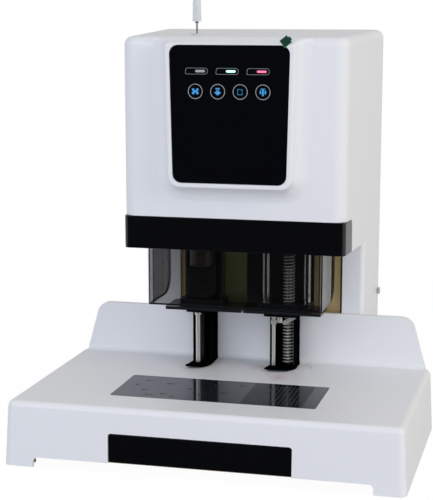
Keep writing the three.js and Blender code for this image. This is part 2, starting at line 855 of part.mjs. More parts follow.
function feedParts() {
  const under = overall.tall - wall.plastic;
  const mouth = overall.tall + feed.capThick;
  const bottom = topDeckZ - feed.drop;
  const knobBottom = overall.tall + feed.knobRise;
  const knobTop = knobBottom + feed.knobTall;
  const tube = [
    [feed.bore, bottom],
    [feed.tube, bottom],
    [feed.tube, under - gap.cut],
    [feed.cap, under - gap.cut],
    [feed.cap, mouth],
    [feed.rod + gap.slide, mouth],
    [feed.rod + gap.slide, under],
    [feed.bore, under],
    [feed.bore, bottom],
  ];
  add("feed_tube", turned(feed.x, yFeed, tube), finish(0xd8dade, 0.4));
  const f0 = knobBottom - feed.ferruleTall - gap.seat;
  const rod = [
    [0, bottom + feed.rodRise],
    [feed.rod, bottom + feed.rodRise],
    [feed.rod, f0],
    [feed.ferrule, f0],
    [feed.ferrule, f0 + feed.ferruleTall],
    [feed.rod, f0 + feed.ferruleTall],
    [feed.rod, knobTop - feed.knob],
    [0, knobTop - feed.knob],
  ];
  add("feed_rod", turned(feed.x, yFeed, rod, studSteps), steel);
  const knob = [
    [feed.rod + gap.seat, knobBottom],
    [feed.knobFoot, knobBottom],
    [feed.knob, knobTop - feed.knob / 2],
    [feed.knob / 2, knobTop],
    [0, knobTop],
    [0, knobTop - feed.knob + gap.seat],
    [feed.rod + gap.seat, knobTop - feed.knob + gap.seat],
    [feed.rod + gap.seat, knobBottom],
  ];
  add("feed_knob", turned(feed.x, yFeed, knob), finish(0xeef0f2, 0.35));
}

// A carriage: an aluminium block on two guide rods, moved by one lead screw
const pressRod = { drillOffset: 22.4, rivetOffset: 19, setback: 3.7, radius: 4, rivetRadius: 3, above: 8 };
const rodTop = {
  drill: carriage.drillRise + carriage.thick + pressRod.above,
  rivet: rivetRise + carriage.rivetThick + pressRod.above,
};
const drillRods = { offset: pressRod.drillOffset, radius: pressRod.radius, top: rodTop.drill, hole: 7.4 };
const rivetRods = {
  offset: pressRod.rivetOffset,
  radius: pressRod.rivetRadius,
  top: rodTop.rivet,
  hole: 6,
};
const yPressRod = yTool + pressRod.setback;

function carriageShape(x, y0, rodOffset, rodRadius) {
  const half = carriage.halfWide;
  const shape = rectangle(x - half, x + half, y0, yGuide + carriage.back, carriage.radius);
  for (const dir of [-1, 1]) {
    shape.holes.push(circle(x + dir * guide.offset, yGuide, guide.radius + gap.slide));
    shape.holes.push(circle(x + dir * rodOffset, yPressRod, rodRadius + gap.slide));
  }
  shape.holes.push(circle(x, yScrew, screw.radius + gap.slide));
  return shape;
}

const bearing = { radius: 9.5, wide: 6, hollow: 7.5 };
const spindle = {
  radius: 5,
  nose: 4.6,
  noseDrop: 28,
  bore: 2.4,
  pulley: 9,
  pulleyTall: 10,
  pulleyRise: 54,
  collar: 6.5,
};
const drillMotor = { radius: 14, tall: 50, forward: 33, hub: 6 };
const yMotor = yTool - drillMotor.forward;
const rivetFront = { inset: 24 };

function carriages() {
  const z0 = carriage.drillRise;
  const z1 = z0 + carriage.thick;
  const drillFront = yMotor - drillMotor.radius;
  const drillShape = carriageShape(lift.drillX, drillFront, pressRod.drillOffset, pressRod.radius);
  drillShape.holes.push(circle(tool.drillX, yTool, bearing.radius + gap.seat));
  add("drill_carriage", solid(upright(drillShape, z0, z1)), aluminium);
  const r0 = rivetRise;
  const rivetY = yTool - rivetFront.inset;
  const rivetShape = carriageShape(lift.rivetX, rivetY, pressRod.rivetOffset, pressRod.rivetRadius);
  add("rivet_carriage", solid(upright(rivetShape, r0, r0 + carriage.rivetThick)), aluminium);
}

// Two rods held in a lower and an upper bar that reach back to the frame
const bar = { tall: 7, ahead: 6 };

function guideRods(name, x) {
  const z0 = lowDeckZ;
  const z1 = topDeckZ - gap.seat;
  const back = ySideBack - frame.sheet - gap.seat;
  const half = guide.offset + bar.ahead;
  const pieces = [-1, 1].map((dir) => post(x + dir * guide.offset, yGuide, z0, z1, guide.radius));
  pieces.push(block(x - half, x + half, yGuide - bar.ahead, back, z0, z0 + bar.tall));
  pieces.push(block(x - half, x + half, yGuide - bar.ahead, back, z1 - bar.tall, z1));
  add(name, joined(pieces), chrome);
}

// A lead screw is shown as a rod with a ring for each turn of its thread
const threadSteps = 10;

function liftScrew(name, x) {
  const z0 = lowDeckZ + frame.deckThick + gap.seat;
  const z1 = frameTop + liftMotor.hubTall;
  const profile = [[0, z0], [screw.root, z0]];
  const turns = Math.floor((topDeckZ - z0) / screw.pitch) - 1;
  for (let i = 0; i < turns; i++) {
    const z = z0 + (i + 1 / 2) * screw.pitch;
    profile.push([screw.root, z], [screw.radius, z + screw.pitch / 2]);
  }
  profile.push([screw.root, z1], [0, z1]);
  add(name, turned(x, yScrew, profile, threadSteps), steel);
}

const liftMotor = { radius: 18, tall: 46, hubTall: 6 };

function liftMotorBody(name, x) {
  const z0 = frameTop + gap.seat;
  const boreTop = z0 + liftMotor.hubTall + gap.slide;
  const bore = post(x, yScrew, z0 - gap.cut, boreTop, screw.root + gap.slide);
  add(name, post(x, yScrew, z0, z0 + liftMotor.tall, liftMotor.radius).subtract(bore), motorGrey);
}

const bit = { radius: 3, bore: 2.2, edge: 2.5, taper: 3, rise: 0.5 };

// Drill: motor, belt, hollow spindle in two bearings, hollow bit
function drillParts() {
  const top = carriage.drillRise + carriage.thick;
  const motorFoot = top + gap.seat;
  const motorTop = motorFoot + drillMotor.tall;
  const pulleyFoot = top + spindle.pulleyRise;
  const pulleyTop = pulleyFoot + spindle.pulleyTall;
  add("drill_motor", post(tool.drillX, yMotor, motorFoot, motorTop, drillMotor.radius), motorGrey);
  const pulleyRim = spindle.pulley;
  const motorPulley = [
    [0, motorTop + gap.seat],
    [drillMotor.hub, motorTop + gap.seat],
    [drillMotor.hub, pulleyFoot],
    [pulleyRim, pulleyFoot],
    [pulleyRim, pulleyTop],
    [0, pulleyTop],
  ];
  add("motor_pulley", turned(tool.drillX, yMotor, motorPulley), aluminium);
  add("drive_belt", driveBelt(pulleyFoot, pulleyTop), finish(0x1a1a1b, 0.8));
  const nose = carriage.drillRise - spindle.noseDrop;
  const shank = bit.radius + gap.slide;
  const shankTop = carriage.drillRise + bearing.wide / 2;
  const shaft = [
    [shank, nose],
    [spindle.nose, nose],
    [spindle.nose, carriage.drillRise],
    [spindle.radius, carriage.drillRise],
    [spindle.radius, top + gap.seat],
    [spindle.collar, top + gap.seat],
    [spindle.collar, pulleyFoot],
    [pulleyRim, pulleyFoot],
    [pulleyRim, pulleyTop],
    [spindle.bore, pulleyTop],
    [spindle.bore, shankTop],
    [shank, shankTop],
    [shank, nose],
  ];
  add("spindle", turned(tool.drillX, yTool, shaft), steel);
  const c0 = carriage.drillRise + gap.seat;
  const c1 = top - gap.seat;
  const near = spindle.radius + gap.slide;
  const cartridge = [
    [near, c0],
    [bearing.radius, c0],
    [bearing.radius, c1],
    [near, c1],
    [near, c1 - bearing.wide],
    [bearing.hollow, c1 - bearing.wide],
    [bearing.hollow, c0 + bearing.wide],
    [near, c0 + bearing.wide],
    [near, c0],
  ];
  add("spindle_bearings", turned(tool.drillX, yTool, cartridge), steel);
  const tip = base.tableTop + bit.rise;
  const tube = [
    [bit.bore, tip],
    [bit.edge, tip],
    [bit.radius, tip + bit.taper],
    [bit.radius, shankTop - gap.seat],
    [bit.bore, shankTop - gap.seat],
    [bit.bore, tip],
  ];
  add("drill_bit", turned(tool.drillX, yTool, tube), steel);
}

const belt = { thick: 1.4, inset: 1 };

function driveBelt(z0, z1) {
  const loop = (radius) => {
    const far = new THREE.EllipseCurve(tool.drillX, yTool, radius, radius, 0, Math.PI);
    const near = new THREE.EllipseCurve(tool.drillX, yMotor, radius, radius, Math.PI, 2 * Math.PI);
    return new THREE.Shape([...far.getPoints(roundSteps / 2), ...near.getPoints(roundSteps / 2)]);
  };
  const inner = spindle.pulley + gap.slide;
  const outer = solid(upright(loop(inner + belt.thick), z0 + belt.inset, z1 - belt.inset));
  return outer.subtract(solid(upright(loop(inner), z0, z1)));
}

// Presser feet: a channel open to the front on a sole with a raised toe, and a chrome post in front
const press = { drop: 76, plateThick: 3, half: 85, middle: 1, ahead: 20.5, behind: 21, footGap: 0.6 };
const plateZ = carriage.drillRise - press.drop;
const yPressFront = yTool - press.ahead;
const drillFootSize = {
  shift: -4.7,
  half: 14.2,
  ahead: 9.5,
  behind: 15.5,
  wall: 2,
  flange: 4,
  toeAhead: 25.5,
  hole: 3.6,
  postShift: -14.1,
  postAhead: 10.7,
  postRadius: 1.9,
};
const rivetFootSize = {
  shift: 2.3,
  half: 10.4,
  ahead: 9.5,
  behind: 20,
  wall: 1.6,
  flange: 4,
  toeAhead: 32.5,
  hole: 4.6,
  postShift: -0.5,
  postAhead: 15.4,
  postRadius: 2.3,
};
const drillFoot = placedFoot(tool.drillX, drillFootSize);
const rivetFoot = placedFoot(tool.rivetX, rivetFootSize);

// Adds where a foot's parts stand, measured from the axis of its tool
function placedFoot(toolX, size) {
  const front = yTool - size.ahead;
  const back = yTool + size.behind;
  const post = { x: toolX + size.postShift, y: yTool - size.postAhead };
  return { ...size, x: toolX + size.shift, front, back, toe: yTool - size.toeAhead, post };
}

const sole = {
  thick: 3.1,
  rise: 2.6,
  ramp: 11,
  tip: 1.2,
  left: 2.5,
  cut: 7,
  cutDeep: 5,
  bow: 18,
  radius: 5,
};

function solePlan(size) {
  const x0 = size.x - size.half;
  const x1 = size.x + size.half;
  const edge = [[x0 - sole.left, size.toe + sole.tip], [x1 - 2 * sole.cut, size.toe]];
  edge.push([x1 - sole.cut, size.toe + sole.cutDeep], [x1, size.toe + sole.bow], [x1, size.back]);
  edge.push([x0, size.back], [x0, size.toe + sole.bow]);
  return outline(edge, [0, sole.radius, sole.radius, sole.radius, 0, 0, sole.radius]);
}

function soleSide(size, z0) {
  const top = z0 + sole.thick;
  const low = new THREE.Vector2(size.toe + sole.ramp, z0);
  const under = new THREE.QuadraticBezierCurve(
    low,
    new THREE.Vector2(size.toe + sole.ramp / 2, z0),
    new THREE.Vector2(size.toe, z0 + sole.rise),
  );
  const over = new THREE.QuadraticBezierCurve(
    new THREE.Vector2(size.toe, z0 + sole.rise + sole.tip),
    new THREE.Vector2(size.toe + sole.ramp / 2, top),
    new THREE.Vector2(size.toe + sole.ramp, top),
  );
  const back = [new THREE.Vector2(size.back, top), new THREE.Vector2(size.back, z0)];
  return new THREE.Shape([...under.getPoints(arcSteps), ...over.getPoints(arcSteps), ...back]);
}

function footPiece(name, toolX, size) {
  const z0 = base.tableTop + press.footGap;
  const z1 = plateZ - gap.seat;
  const top = z0 + sole.thick;
  const { x, half, wall: w, flange } = size;
  const spread = half + 2 * sole.left;
  const within = half - w;
  const profile = sideways(soleSide(size, z0), x - spread, x + spread);
  const under = profile.intersect(solid(upright(solePlan(size), z0 - gap.cut, top + 2 * sole.rise)));
  const walls = solid(upright(rectangle(x - half, x + half, size.front, size.back, w), top - gap.seat, z1));
  const hollow = block(x - within, x + within, size.front - gap.cut, size.back - w, top, z1 + gap.cut);
  const collar = block(x - half - flange, x + half + flange, yPressFront, size.back + w, z1 - w, z1);
  const open = block(x - within, x + within, size.front + w, size.back - w, z1 - 2 * w, z1 + gap.cut);
  const rod = post(size.post.x, size.post.y, top - gap.seat, z1 - w + gap.seat, size.postRadius, studSteps);
  const body = joined([under, walls.subtract(hollow), collar.subtract(open), rod]);
  const hole = post(toolX, yTool, z0 - gap.cut, top + gap.cut, size.hole);
  add(name, body.subtract(hole), finish(0x0a0b0e, 0.12));
}

// The plate that a foot hangs from, with a bar and two rods that slide in the carriage
const rodBar = { tall: 7, side: 6, front: 11, back: 13, lip: 0.3 };

function pressPlate(name, x, toolX, x0, x1, size, rod) {
  const z0 = plateZ;
  const z1 = z0 + press.plateThick;
  const half = size.half - size.wall;
  const sheet = rectangle(x0, x1, yPressFront, yTool + press.behind, plate.radius / 2);
  const y0 = size.front + size.wall;
  sheet.holes.push(rectangle(size.x - half, size.x + half, y0, size.back - size.wall, 0));
  const reach = rod.offset + rodBar.side;
  const strip = rectangle(x - reach, x + reach, yTool - rodBar.front, yTool + rodBar.back, rodBar.side / 2);
  strip.holes.push(circle(toolX, yTool, rod.hole));
  const cross = solid(upright(strip, z1 - rodBar.lip, z1 + rodBar.tall));
  const pieces = [solid(upright(sheet, z0, z1)), cross];
  for (const dir of [-1, 1]) pieces.push(post(x + dir * rod.offset, yPressRod, z0, rod.top, rod.radius));
  add(name, joined(pieces), darkSteel);
}

// Rivet tool: insulating sleeve, heated block with its clamp screw, brass punch
const rivetTool = {
  sleeve: 13.5,
  sleeveTall: 61.4,
  blockHalf: 12.3,
  blockTall: 33,
  punch: 4,
  punchRise: 0.6,
  screw: 2.6,
};

function rivetParts() {
  const h = rivetTool.blockHalf;
  const x = tool.rivetX;
  const sleeveTop = rivetRise - gap.seat;
  const sleeveFoot = sleeveTop - rivetTool.sleeveTall;
  const blockTop = sleeveFoot - gap.seat;
  const blockBottom = blockTop - rivetTool.blockTall;
  add("rivet_sleeve", post(x, yTool, sleeveFoot, sleeveTop, rivetTool.sleeve), finish(0x8a7476, 0.4, 0.4));
  const heated = block(x - h, x + h, yTool - h, yTool + h, blockBottom, blockTop);
  const boltZ = (blockTop + blockBottom) / 2;
  const bolt = pin(x + h / 2, boltZ, yTool - h - rivetTool.screw, yTool - h + gap.cut, rivetTool.screw);
  add("rivet_heater", heated.add(bolt), finish(0x15171b, 0.45));
  const punch = [
    [0, base.tableTop + rivetTool.punchRise],
    [rivetTool.punch, base.tableTop + rivetTool.punchRise],
    [rivetTool.punch, blockBottom - gap.seat],
    [0, blockBottom - gap.seat],
  ];
  add("rivet_punch", turned(tool.rivetX, yTool, punch), brass);
}

// Drill spring: a real helix whose ends stand straight up
const spring = { outer: 6.4, wire: 1.2, curls: 38, steps: 8, sides: 5 };

function springPath(z0, z1) {
  const radius = spring.outer - spring.wire / 2;
  const low = z0 + spring.wire;
  const high = z1 - spring.wire;
  const points = [new THREE.Vector3(radius, 0, z0)];
  const count = spring.curls * spring.steps;
  for (let i = 0; i <= count; i++) {
    const angle = (2 * Math.PI * i) / spring.steps;
    const z = low + ((high - low) * i) / count;
    points.push(new THREE.Vector3(radius * Math.cos(angle), radius * Math.sin(angle), z));
  }
  points.push(new THREE.Vector3(radius, 0, z1));
  return points;
}

function tubeAlong(points, radius, sides) {
  const position = [];
  const index = [];
  const last = points.length - 1;
  points.forEach((point, i) => {
    const before = points[Math.max(i - 1, 0)];
    const after = points[Math.min(i + 1, last)];
    const along = after.clone().sub(before).normalize();
    const out = new THREE.Vector3(point.x, point.y, 0).normalize();
    const across = new THREE.Vector3().crossVectors(along, out).normalize();
    const square = new THREE.Vector3().crossVectors(across, along);
    for (let k = 0; k < sides; k++) {
      const angle = (2 * Math.PI * k) / sides;
      const rim = point.clone().addScaledVector(square, radius * Math.cos(angle));
      rim.addScaledVector(across, radius * Math.sin(angle));
      position.push(rim.x, rim.y, rim.z);
    }
  });
  for (let i = 0; i < last; i++) {
    for (let k = 0; k < sides; k++) {
      const a = i * sides + k;
      const b = i * sides + ((k + 1) % sides);
      index.push(a, b, a + sides, b, b + sides, a + sides);
    }
  }
  for (let k = 1; k < sides - 1; k++) {
    index.push(0, k + 1, k);
    index.push(last * sides, last * sides + k, last * sides + k + 1);
  }
  const geometry = new THREE.BufferGeometry();
  geometry.setAttribute("position", new THREE.Float32BufferAttribute(position, 3));
  geometry.setIndex(index);
  return geometry;
}

// The least free space between one curl and the next, on the points themselves
function leastGap(points) {
  let least = Infinity;
  for (let i = 0; i < points.length; i++) {
    for (let k = i + spring.steps - 1; k < Math.min(i + 2 * spring.steps, points.length); k++) {
      least = Math.min(least, points[i].distanceTo(points[k]) - spring.wire);
    }
  }
  return least;
}

function drillSpring() {
  const z0 = base.tableTop + press.footGap + sole.thick + gap.seat;
  const z1 = carriage.drillRise - gap.seat;
  const path = springPath(z0, z1);
  console.log(`drill_spring least gap ${leastGap(path).toFixed(2)} mm`);
  const geometry = tubeAlong(path, spring.wire / 2, spring.sides);
  geometry.translate(tool.drillX, yTool, 0);
  add("drill_spring", solid(geometry), chrome);
}

// Electrics: control board in the left bay, power supply in the column, laser pointer
const board = {
  offset: 9,
  thick: 1.6,
  deep: 84,
  tall: 124,
  above: 25.2,
  inset: 6,
  bay: 4,
  standoff: 3,
  chips: 4,
  high: 12,
  low: 6,
  sink: 0.5,
};
const supply = { halfWide: 45, deep: 34, tall: 60, backGap: 8 };
const laser = { forward: 16, radius: 5, above: 5.2, tall: 30, arm: 7, armDrop: 10, armThick: 2.5 };

// The board with its taller and lower parts, on four studs on the left side plate
function controlBoard() {
  const x0 = side.leftX - board.offset;
  const y1 = ySideBack - board.bay;
  const y0 = y1 - board.deep;
  const z0 = head.bottom + board.above;
  const z1 = z0 + board.tall;
  const pieces = [block(x0, x0 + board.thick, y0, y1, z0, z1)];
  const step = board.tall / board.chips;
  for (let i = 0; i < board.chips; i++) {
    const z = z0 + step * (i + 1 / 2);
    const high = i % 2 ? board.high : board.low;
    const half = board.high / 2;
    const near = y0 + board.high;
    pieces.push(block(x0 - high, x0 + board.sink, near, near + 2 * board.high, z - half, z + half));
  }
  const length = side.leftX - gap.seat - x0;
  for (const y of [y0 + board.inset, y1 - board.inset]) {
    for (const z of [z0 + board.inset, z1 - board.inset]) {
      const geometry = new THREE.CylinderGeometry(board.standoff, board.standoff, length, studSteps);
      geometry.rotateZ(Math.PI / 2);
      geometry.translate(x0 + length / 2, y, z);
      pieces.push(solid(geometry));
    }
  }
  add("control_board", joined(pieces), finish(0x1f5a36, 0.5));
}

function powerSupply() {
  const y1 = yBack - wall.plastic - supply.backGap;
  const z0 = floorTop + gap.seat;
  add("power_supply", block(0, 2 * supply.halfWide, y1 - supply.deep, y1, z0, z0 + supply.tall), aluminium);
}

function laserModule() {
  const y = yHead + laser.forward;
  const z0 = head.bottom + laser.above;
  const armZ = z0 + laser.tall - laser.armDrop;
  const tube = post(0, y, z0, z0 + laser.tall, laser.radius);
  const back = yHead + wall.plastic + gap.seat;
  add("laser_module", tube.add(block(-laser.arm, laser.arm, back, y, armZ, armZ + laser.armThick)), brass);
}

baseCover();
worktopPanel();
basePlate();
rubberFeet();
chipDrawer();
cuttingPad();
anvilParts();
sidePlate("frame_side_right", side.rightX, -1, side.rightFlange);
sidePlate("frame_side_left", side.leftX, 1, side.leftFlange);
frameBack();
topDeck();
toolShield();
headCover();
frontBand();
rearCover();
sideScrews();
powerInlet();
powerSwitch();
guardPiece();
panelPod();
controlPanel();
feedParts();
carriages();
guideRods("drill_guide_rods", lift.drillX);
guideRods("rivet_guide_rods", lift.rivetX);
liftScrew("drill_lift_screw", lift.drillX);
liftScrew("rivet_lift_screw", lift.rivetX);
liftMotorBody("drill_lift_motor", lift.drillX);
liftMotorBody("rivet_lift_motor", lift.rivetX);
drillParts();
footPiece("drill_foot", tool.drillX, drillFoot);
footPiece("rivet_foot", tool.rivetX, rivetFoot);
pressPlate("drill_press_plate", lift.drillX, tool.drillX, press.middle, press.half, drillFoot, drillRods);
pressPlate("rivet_press_plate", lift.rivetX, tool.rivetX, -press.half, -press.middle, rivetFoot, rivetRods);
rivetParts();
drillSpring();
controlBoard();
powerSupply();
laserModule();

export default root;
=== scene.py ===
import json
import math

import bmesh
import bpy
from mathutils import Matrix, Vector


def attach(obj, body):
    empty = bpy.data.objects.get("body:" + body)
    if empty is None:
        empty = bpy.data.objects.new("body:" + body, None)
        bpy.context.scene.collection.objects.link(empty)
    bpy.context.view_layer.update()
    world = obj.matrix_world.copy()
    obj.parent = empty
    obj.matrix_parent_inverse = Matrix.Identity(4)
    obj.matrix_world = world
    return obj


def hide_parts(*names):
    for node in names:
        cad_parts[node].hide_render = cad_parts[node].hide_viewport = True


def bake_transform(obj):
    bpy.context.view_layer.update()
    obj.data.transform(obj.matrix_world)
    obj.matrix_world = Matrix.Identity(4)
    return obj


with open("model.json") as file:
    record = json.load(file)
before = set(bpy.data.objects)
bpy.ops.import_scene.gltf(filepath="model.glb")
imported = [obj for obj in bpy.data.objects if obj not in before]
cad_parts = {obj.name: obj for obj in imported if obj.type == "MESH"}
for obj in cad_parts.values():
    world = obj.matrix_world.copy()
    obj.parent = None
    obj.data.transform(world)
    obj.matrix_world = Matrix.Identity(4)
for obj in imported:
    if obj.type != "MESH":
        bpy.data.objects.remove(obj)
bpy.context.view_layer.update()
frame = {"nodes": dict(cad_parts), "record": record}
scene = bpy.context.scene
nodes = frame["nodes"]
bodyOf = {n: body for body, names in frame["record"]["behaviour"]["bodies"].items() for n in names}
mm = 0.001  # sizes below are in mm, meshes in metres


def linear(code):
    out = []
    for shift in (16, 8, 0):
        c = ((code >> shift) & 255) / 255
        out.append(c / 12.92 if c <= 0.04045 else ((c + 0.055) / 1.055) ** 2.4)
    return (*out, 1.0)


def addNode(tree, kind, settings=None, links=None):
    node = tree.nodes.new(kind)
    for key, value in (settings or {}).items():
        if isinstance(key, int) or key in node.inputs:
            node.inputs[key].default_value = value
        else:
            setattr(node, key, value)
    for key, source in (links or {}).items():
        tree.links.new(source, node.inputs[key])
    return node


def newMaterial(name, plain=True):
    material = bpy.data.materials.new(name)
    material.use_nodes = True
    if not plain:  # it gets a shader of its own
        material.node_tree.nodes.remove(material.node_tree.nodes["Principled BSDF"])
    return material, material.node_tree


def toOutput(tree, shader, output="Material Output"):
    tree.links.new(shader.outputs[0], tree.nodes[output].inputs["Surface"])


# Two noises vary each surface: a cloudy one its tone, and one at the pitch of the finish its gloss and relief.
# grain is that pitch and bump its depth, in mm. stretch packs it closer along one axis, so that it reads as the
# lines that a tool leaves. A finish finer than about 0.35 mm is drawn that coarse, or the render would lose it.
def surface(name, colour, rough, tone=0.05, grain=0.5, bump=0.01, stretch=(1, 1, 1), spread=0.06, sockets=None):
    material, tree = newMaterial(name)
    shader = tree.nodes["Principled BSDF"]
    place = addNode(tree, "ShaderNodeTexCoord").outputs["Object"]
    drawn = addNode(tree, "ShaderNodeMapping", {"Scale": stretch}, {"Vector": place})
    cloud = addNode(tree, "ShaderNodeTexNoise", {"Scale": 1 / (45 * mm), "Detail": 3}, {"Vector": place})
    fine = addNode(tree, "ShaderNodeTexNoise", {"Scale": 1 / (grain * mm), "Detail": 4},
                   {"Vector": drawn.outputs[0]})
    own = linear(colour)[:3]
    dark = (*(c * (1 - tone) for c in own), 1)
    light = (*(min(1, c * (1 + tone)) for c in own), 1)
    tint = addNode(tree, "ShaderNodeMix", {"data_type": "RGBA", 6: dark, 7: light}, {0: cloud.outputs[0]})
    tree.links.new(tint.outputs[2], shader.inputs["Base Color"])
    gloss = addNode(tree, "ShaderNodeMapRange", {"To Min": max(0.02, rough - spread), "To Max": rough + spread},
                    {"Value": fine.outputs[0]})
    tree.links.new(gloss.outputs[0], shader.inputs["Roughness"])
    if bump > 0:
        relief = addNode(tree, "ShaderNodeBump", {"Distance": bump * mm, "Strength": 1.0},
                         {"Height": fine.outputs[0]})
        tree.links.new(relief.outputs[0], shader.inputs["Normal"])
    for key, value in (sockets or {}).items():
        shader.inputs[key].default_value = value
    return material


def glowing(name, colour, strength):
    return surface(name, colour, 0.3, tone=0.02, bump=0.0,
                   sockets={"Emission Color": linear(colour), "Emission Strength": strength})


print("materials")
# ABS from a sparked mould: an even satin white with broad soft highlights
whiteAbs = surface("white_abs_moulded", 0xE7E8EB, 0.36, tone=0.012, grain=0.35, bump=0.006)
# ABS from a polished mould: near black, and it mirrors what is pale
blackAbs = surface("black_abs_polished", 0x07080B, 0.16, tone=0.2, grain=0.6, bump=0.001, spread=0.03)
# film printed black on its back: flat and deep under a clear face
blackFilm = surface("black_printed_film", 0x040509, 0.08, tone=0.2, grain=3, bump=0.0, spread=0.02,
                    sockets={"Coat Weight": 0.4})
# lacquer sprayed on steel: black from every side, with an orange peel of 8 mm
blackLacquer = surface("black_lacquered_steel", 0x050607, 0.16, tone=0.3, grain=8, bump=0.002, spread=0.04,
                       sockets={"Specular IOR Level": 0.0})
# nickel on brushed steel: bright, but its reflections blur
satin = surface("satin_plated_steel", 0xE2E1DA, 0.34, tone=0.05, grain=1.2, bump=0.001, spread=0.05,
                sockets={"Metallic": 0.75})
# cast acrylic, tinted and polished: a dark glass that mirrors what stands over it
tinted = surface("tinted_acrylic_polished", 0x20242A, 0.07, tone=0.3, grain=5, bump=0.0, spread=0.02)
# zinc plated sheet, yellow passivated: straw gold, clouded
zincSheet = surface("zinc_passivated_sheet", 0xC6AE7C, 0.38, tone=0.2, grain=2.2, bump=0.004,
                    sockets={"Metallic": 0.35})
# zinc plated sheet, chromated: a dull yellow green, more clouded than the gold
oliveSheet = surface("zinc_olive_chromated_sheet", 0xA3AD72, 0.4, tone=0.25, grain=2.6, bump=0.004,
                     sockets={"Metallic": 0.25})
# steel ground as it turns: bright, with close rings round it
steelGround = surface("steel_ground", 0xB4B6BA, 0.26, tone=0.12, grain=0.4, bump=0.002, stretch=(1, 1, 12),
                      sockets={"Metallic": 1.0})
# chrome on polished steel: almost a mirror
chromed = surface("chrome_plated_steel", 0xDADCE0, 0.08, tone=0.05, grain=1.5, bump=0.0, spread=0.03,
                  sockets={"Metallic": 1.0})
# spring wire, drawn: pale and smooth, and dark only between the coils
brightWire = surface("spring_wire_bright_drawn", 0xDEDCD4, 0.26, tone=0.05, grain=0.8, bump=0.001, spread=0.04,
                     sockets={"Metallic": 0.5})
# steel with a dark phosphate coat: a grey sheen without colour
darkSteel = surface("dark_coated_steel", 0x303338, 0.3, tone=0.2, grain=0.6, bump=0.003,
                    sockets={"Metallic": 0.7})
# aluminium, milled: soft grey with fine lines one way
alu = surface("aluminium_milled", 0x9EA1A6, 0.34, tone=0.1, grain=0.5, bump=0.004, stretch=(8, 1, 1),
              sockets={"Metallic": 1.0})
# brass, turned: warm yellow with close rings
brassTurned = surface("brass_turned", 0xC9A25A, 0.24, tone=0.12, grain=0.4, bump=0.003, stretch=(1, 1, 14),
                      sockets={"Metallic": 1.0})
# zinc plated steel, deep drawn: an even middle grey metal
canGrey = surface("motor_can_plated", 0x74777B, 0.38, tone=0.1, grain=0.5, bump=0.003, sockets={"Metallic": 0.8})
# aluminium toned by heat: a brownish dark grey in patches
warmGrey = surface("aluminium_heat_toned", 0x3C3734, 0.36, tone=0.25, grain=1.2, bump=0.003,
                   sockets={"Metallic": 0.3})
# heat coat, baked: a dry black with a fine grain
heaterCoat = surface("heat_coat_black", 0x131418, 0.3, tone=0.3, grain=0.5, bump=0.01)
# rubber, moulded: dull, it shows no highlight
rubber = surface("rubber_moulded", 0x1A1A1B, 0.8, tone=0.15, grain=0.4, bump=0.02)
# rubber, moulded: dull, and painted a pale grey-white, a painted light that lifts the feet so they fade into
# their own shadow instead of showing dark
paleRubberLifted = surface("rubber_painted_pale_moulded", 0xDEDFE1, 0.75, tone=0.05, grain=0.4, bump=0.02)
# nylon, cut from the bar: waxy white, finely scored
nylon = surface("nylon_cut", 0xE6E8EB, 0.5, tone=0.05, grain=0.6, bump=0.01)
# nylon, turned thin: milky, and a little light comes through
milky = surface("milky_nylon_turned", 0xEEF0F3, 0.3, tone=0.03, grain=1.5, bump=0.002,
                sockets={"Transmission Weight": 0.35})
# glass fibre board under solder mask: smooth green, mottled by the copper below
board = surface("solder_mask_board", 0x1C5B37, 0.35, tone=0.25, grain=3, bump=0.01)
# filled nylon, moulded: charcoal with a dry grain
socket = surface("black_nylon_moulded", 0x141416, 0.5, tone=0.2, grain=0.4, bump=0.01)
# smoked light guide with its lamp out: dark and softly glossy
guide = surface("unlit_light_guide_smoked", 0x0A0B0E, 0.2, tone=0.1, grain=2, bump=0.0, spread=0.05)
# acrylic, sawn: its edge is painted black, a painted shade for the way the edge takes in the light and reads dark
edgeShade = surface("acrylic_edge_painted_dark", 0x08090A, 0.3, tone=0.2, grain=0.4, bump=0.002)

smoke = {"light": (0.93, 0.93, 0.92, 1), "seen": (0.645, 0.64, 0.635, 1), "gloss": 0.03, "straight": 0.035,
         "grazing": 0.8}


# smoked acrylic, polished: the eye looks through it darkened, while the light inside stays fairly even
def smokedAcrylic():
    material, tree = newMaterial("smoked_acrylic_polished", plain=False)
    path = addNode(tree, "ShaderNodeLightPath")
    tint = addNode(tree, "ShaderNodeMix", {"data_type": "RGBA", 6: smoke["light"], 7: smoke["seen"]},
                   {0: path.outputs["Is Camera Ray"]})
    through = addNode(tree, "ShaderNodeBsdfTransparent", {}, {"Color": tint.outputs[2]})
    shine = addNode(tree, "ShaderNodeBsdfGlossy", {"Color": (1, 1, 1, 1), "Roughness": smoke["gloss"]})
    # a Fresnel node mirrors everything on the back of a pane, so the fifth power of the facing angle stands in
    tilt = addNode(tree, "ShaderNodeLayerWeight", {"Blend": 0.5})
    steep = addNode(tree, "ShaderNodeMath", {"operation": "POWER", 1: 5.0}, {0: tilt.outputs["Facing"]})
    share = addNode(tree, "ShaderNodeMath",
                    {"operation": "MULTIPLY_ADD", 1: smoke["grazing"], 2: smoke["straight"]},
                    {0: steep.outputs[0]})
    toOutput(tree, addNode(tree, "ShaderNodeMixShader", {}, {
        0: share.outputs[0], 1: through.outputs[0], 2: shine.outputs[0]}))
    return material


smoked = smokedAcrylic()


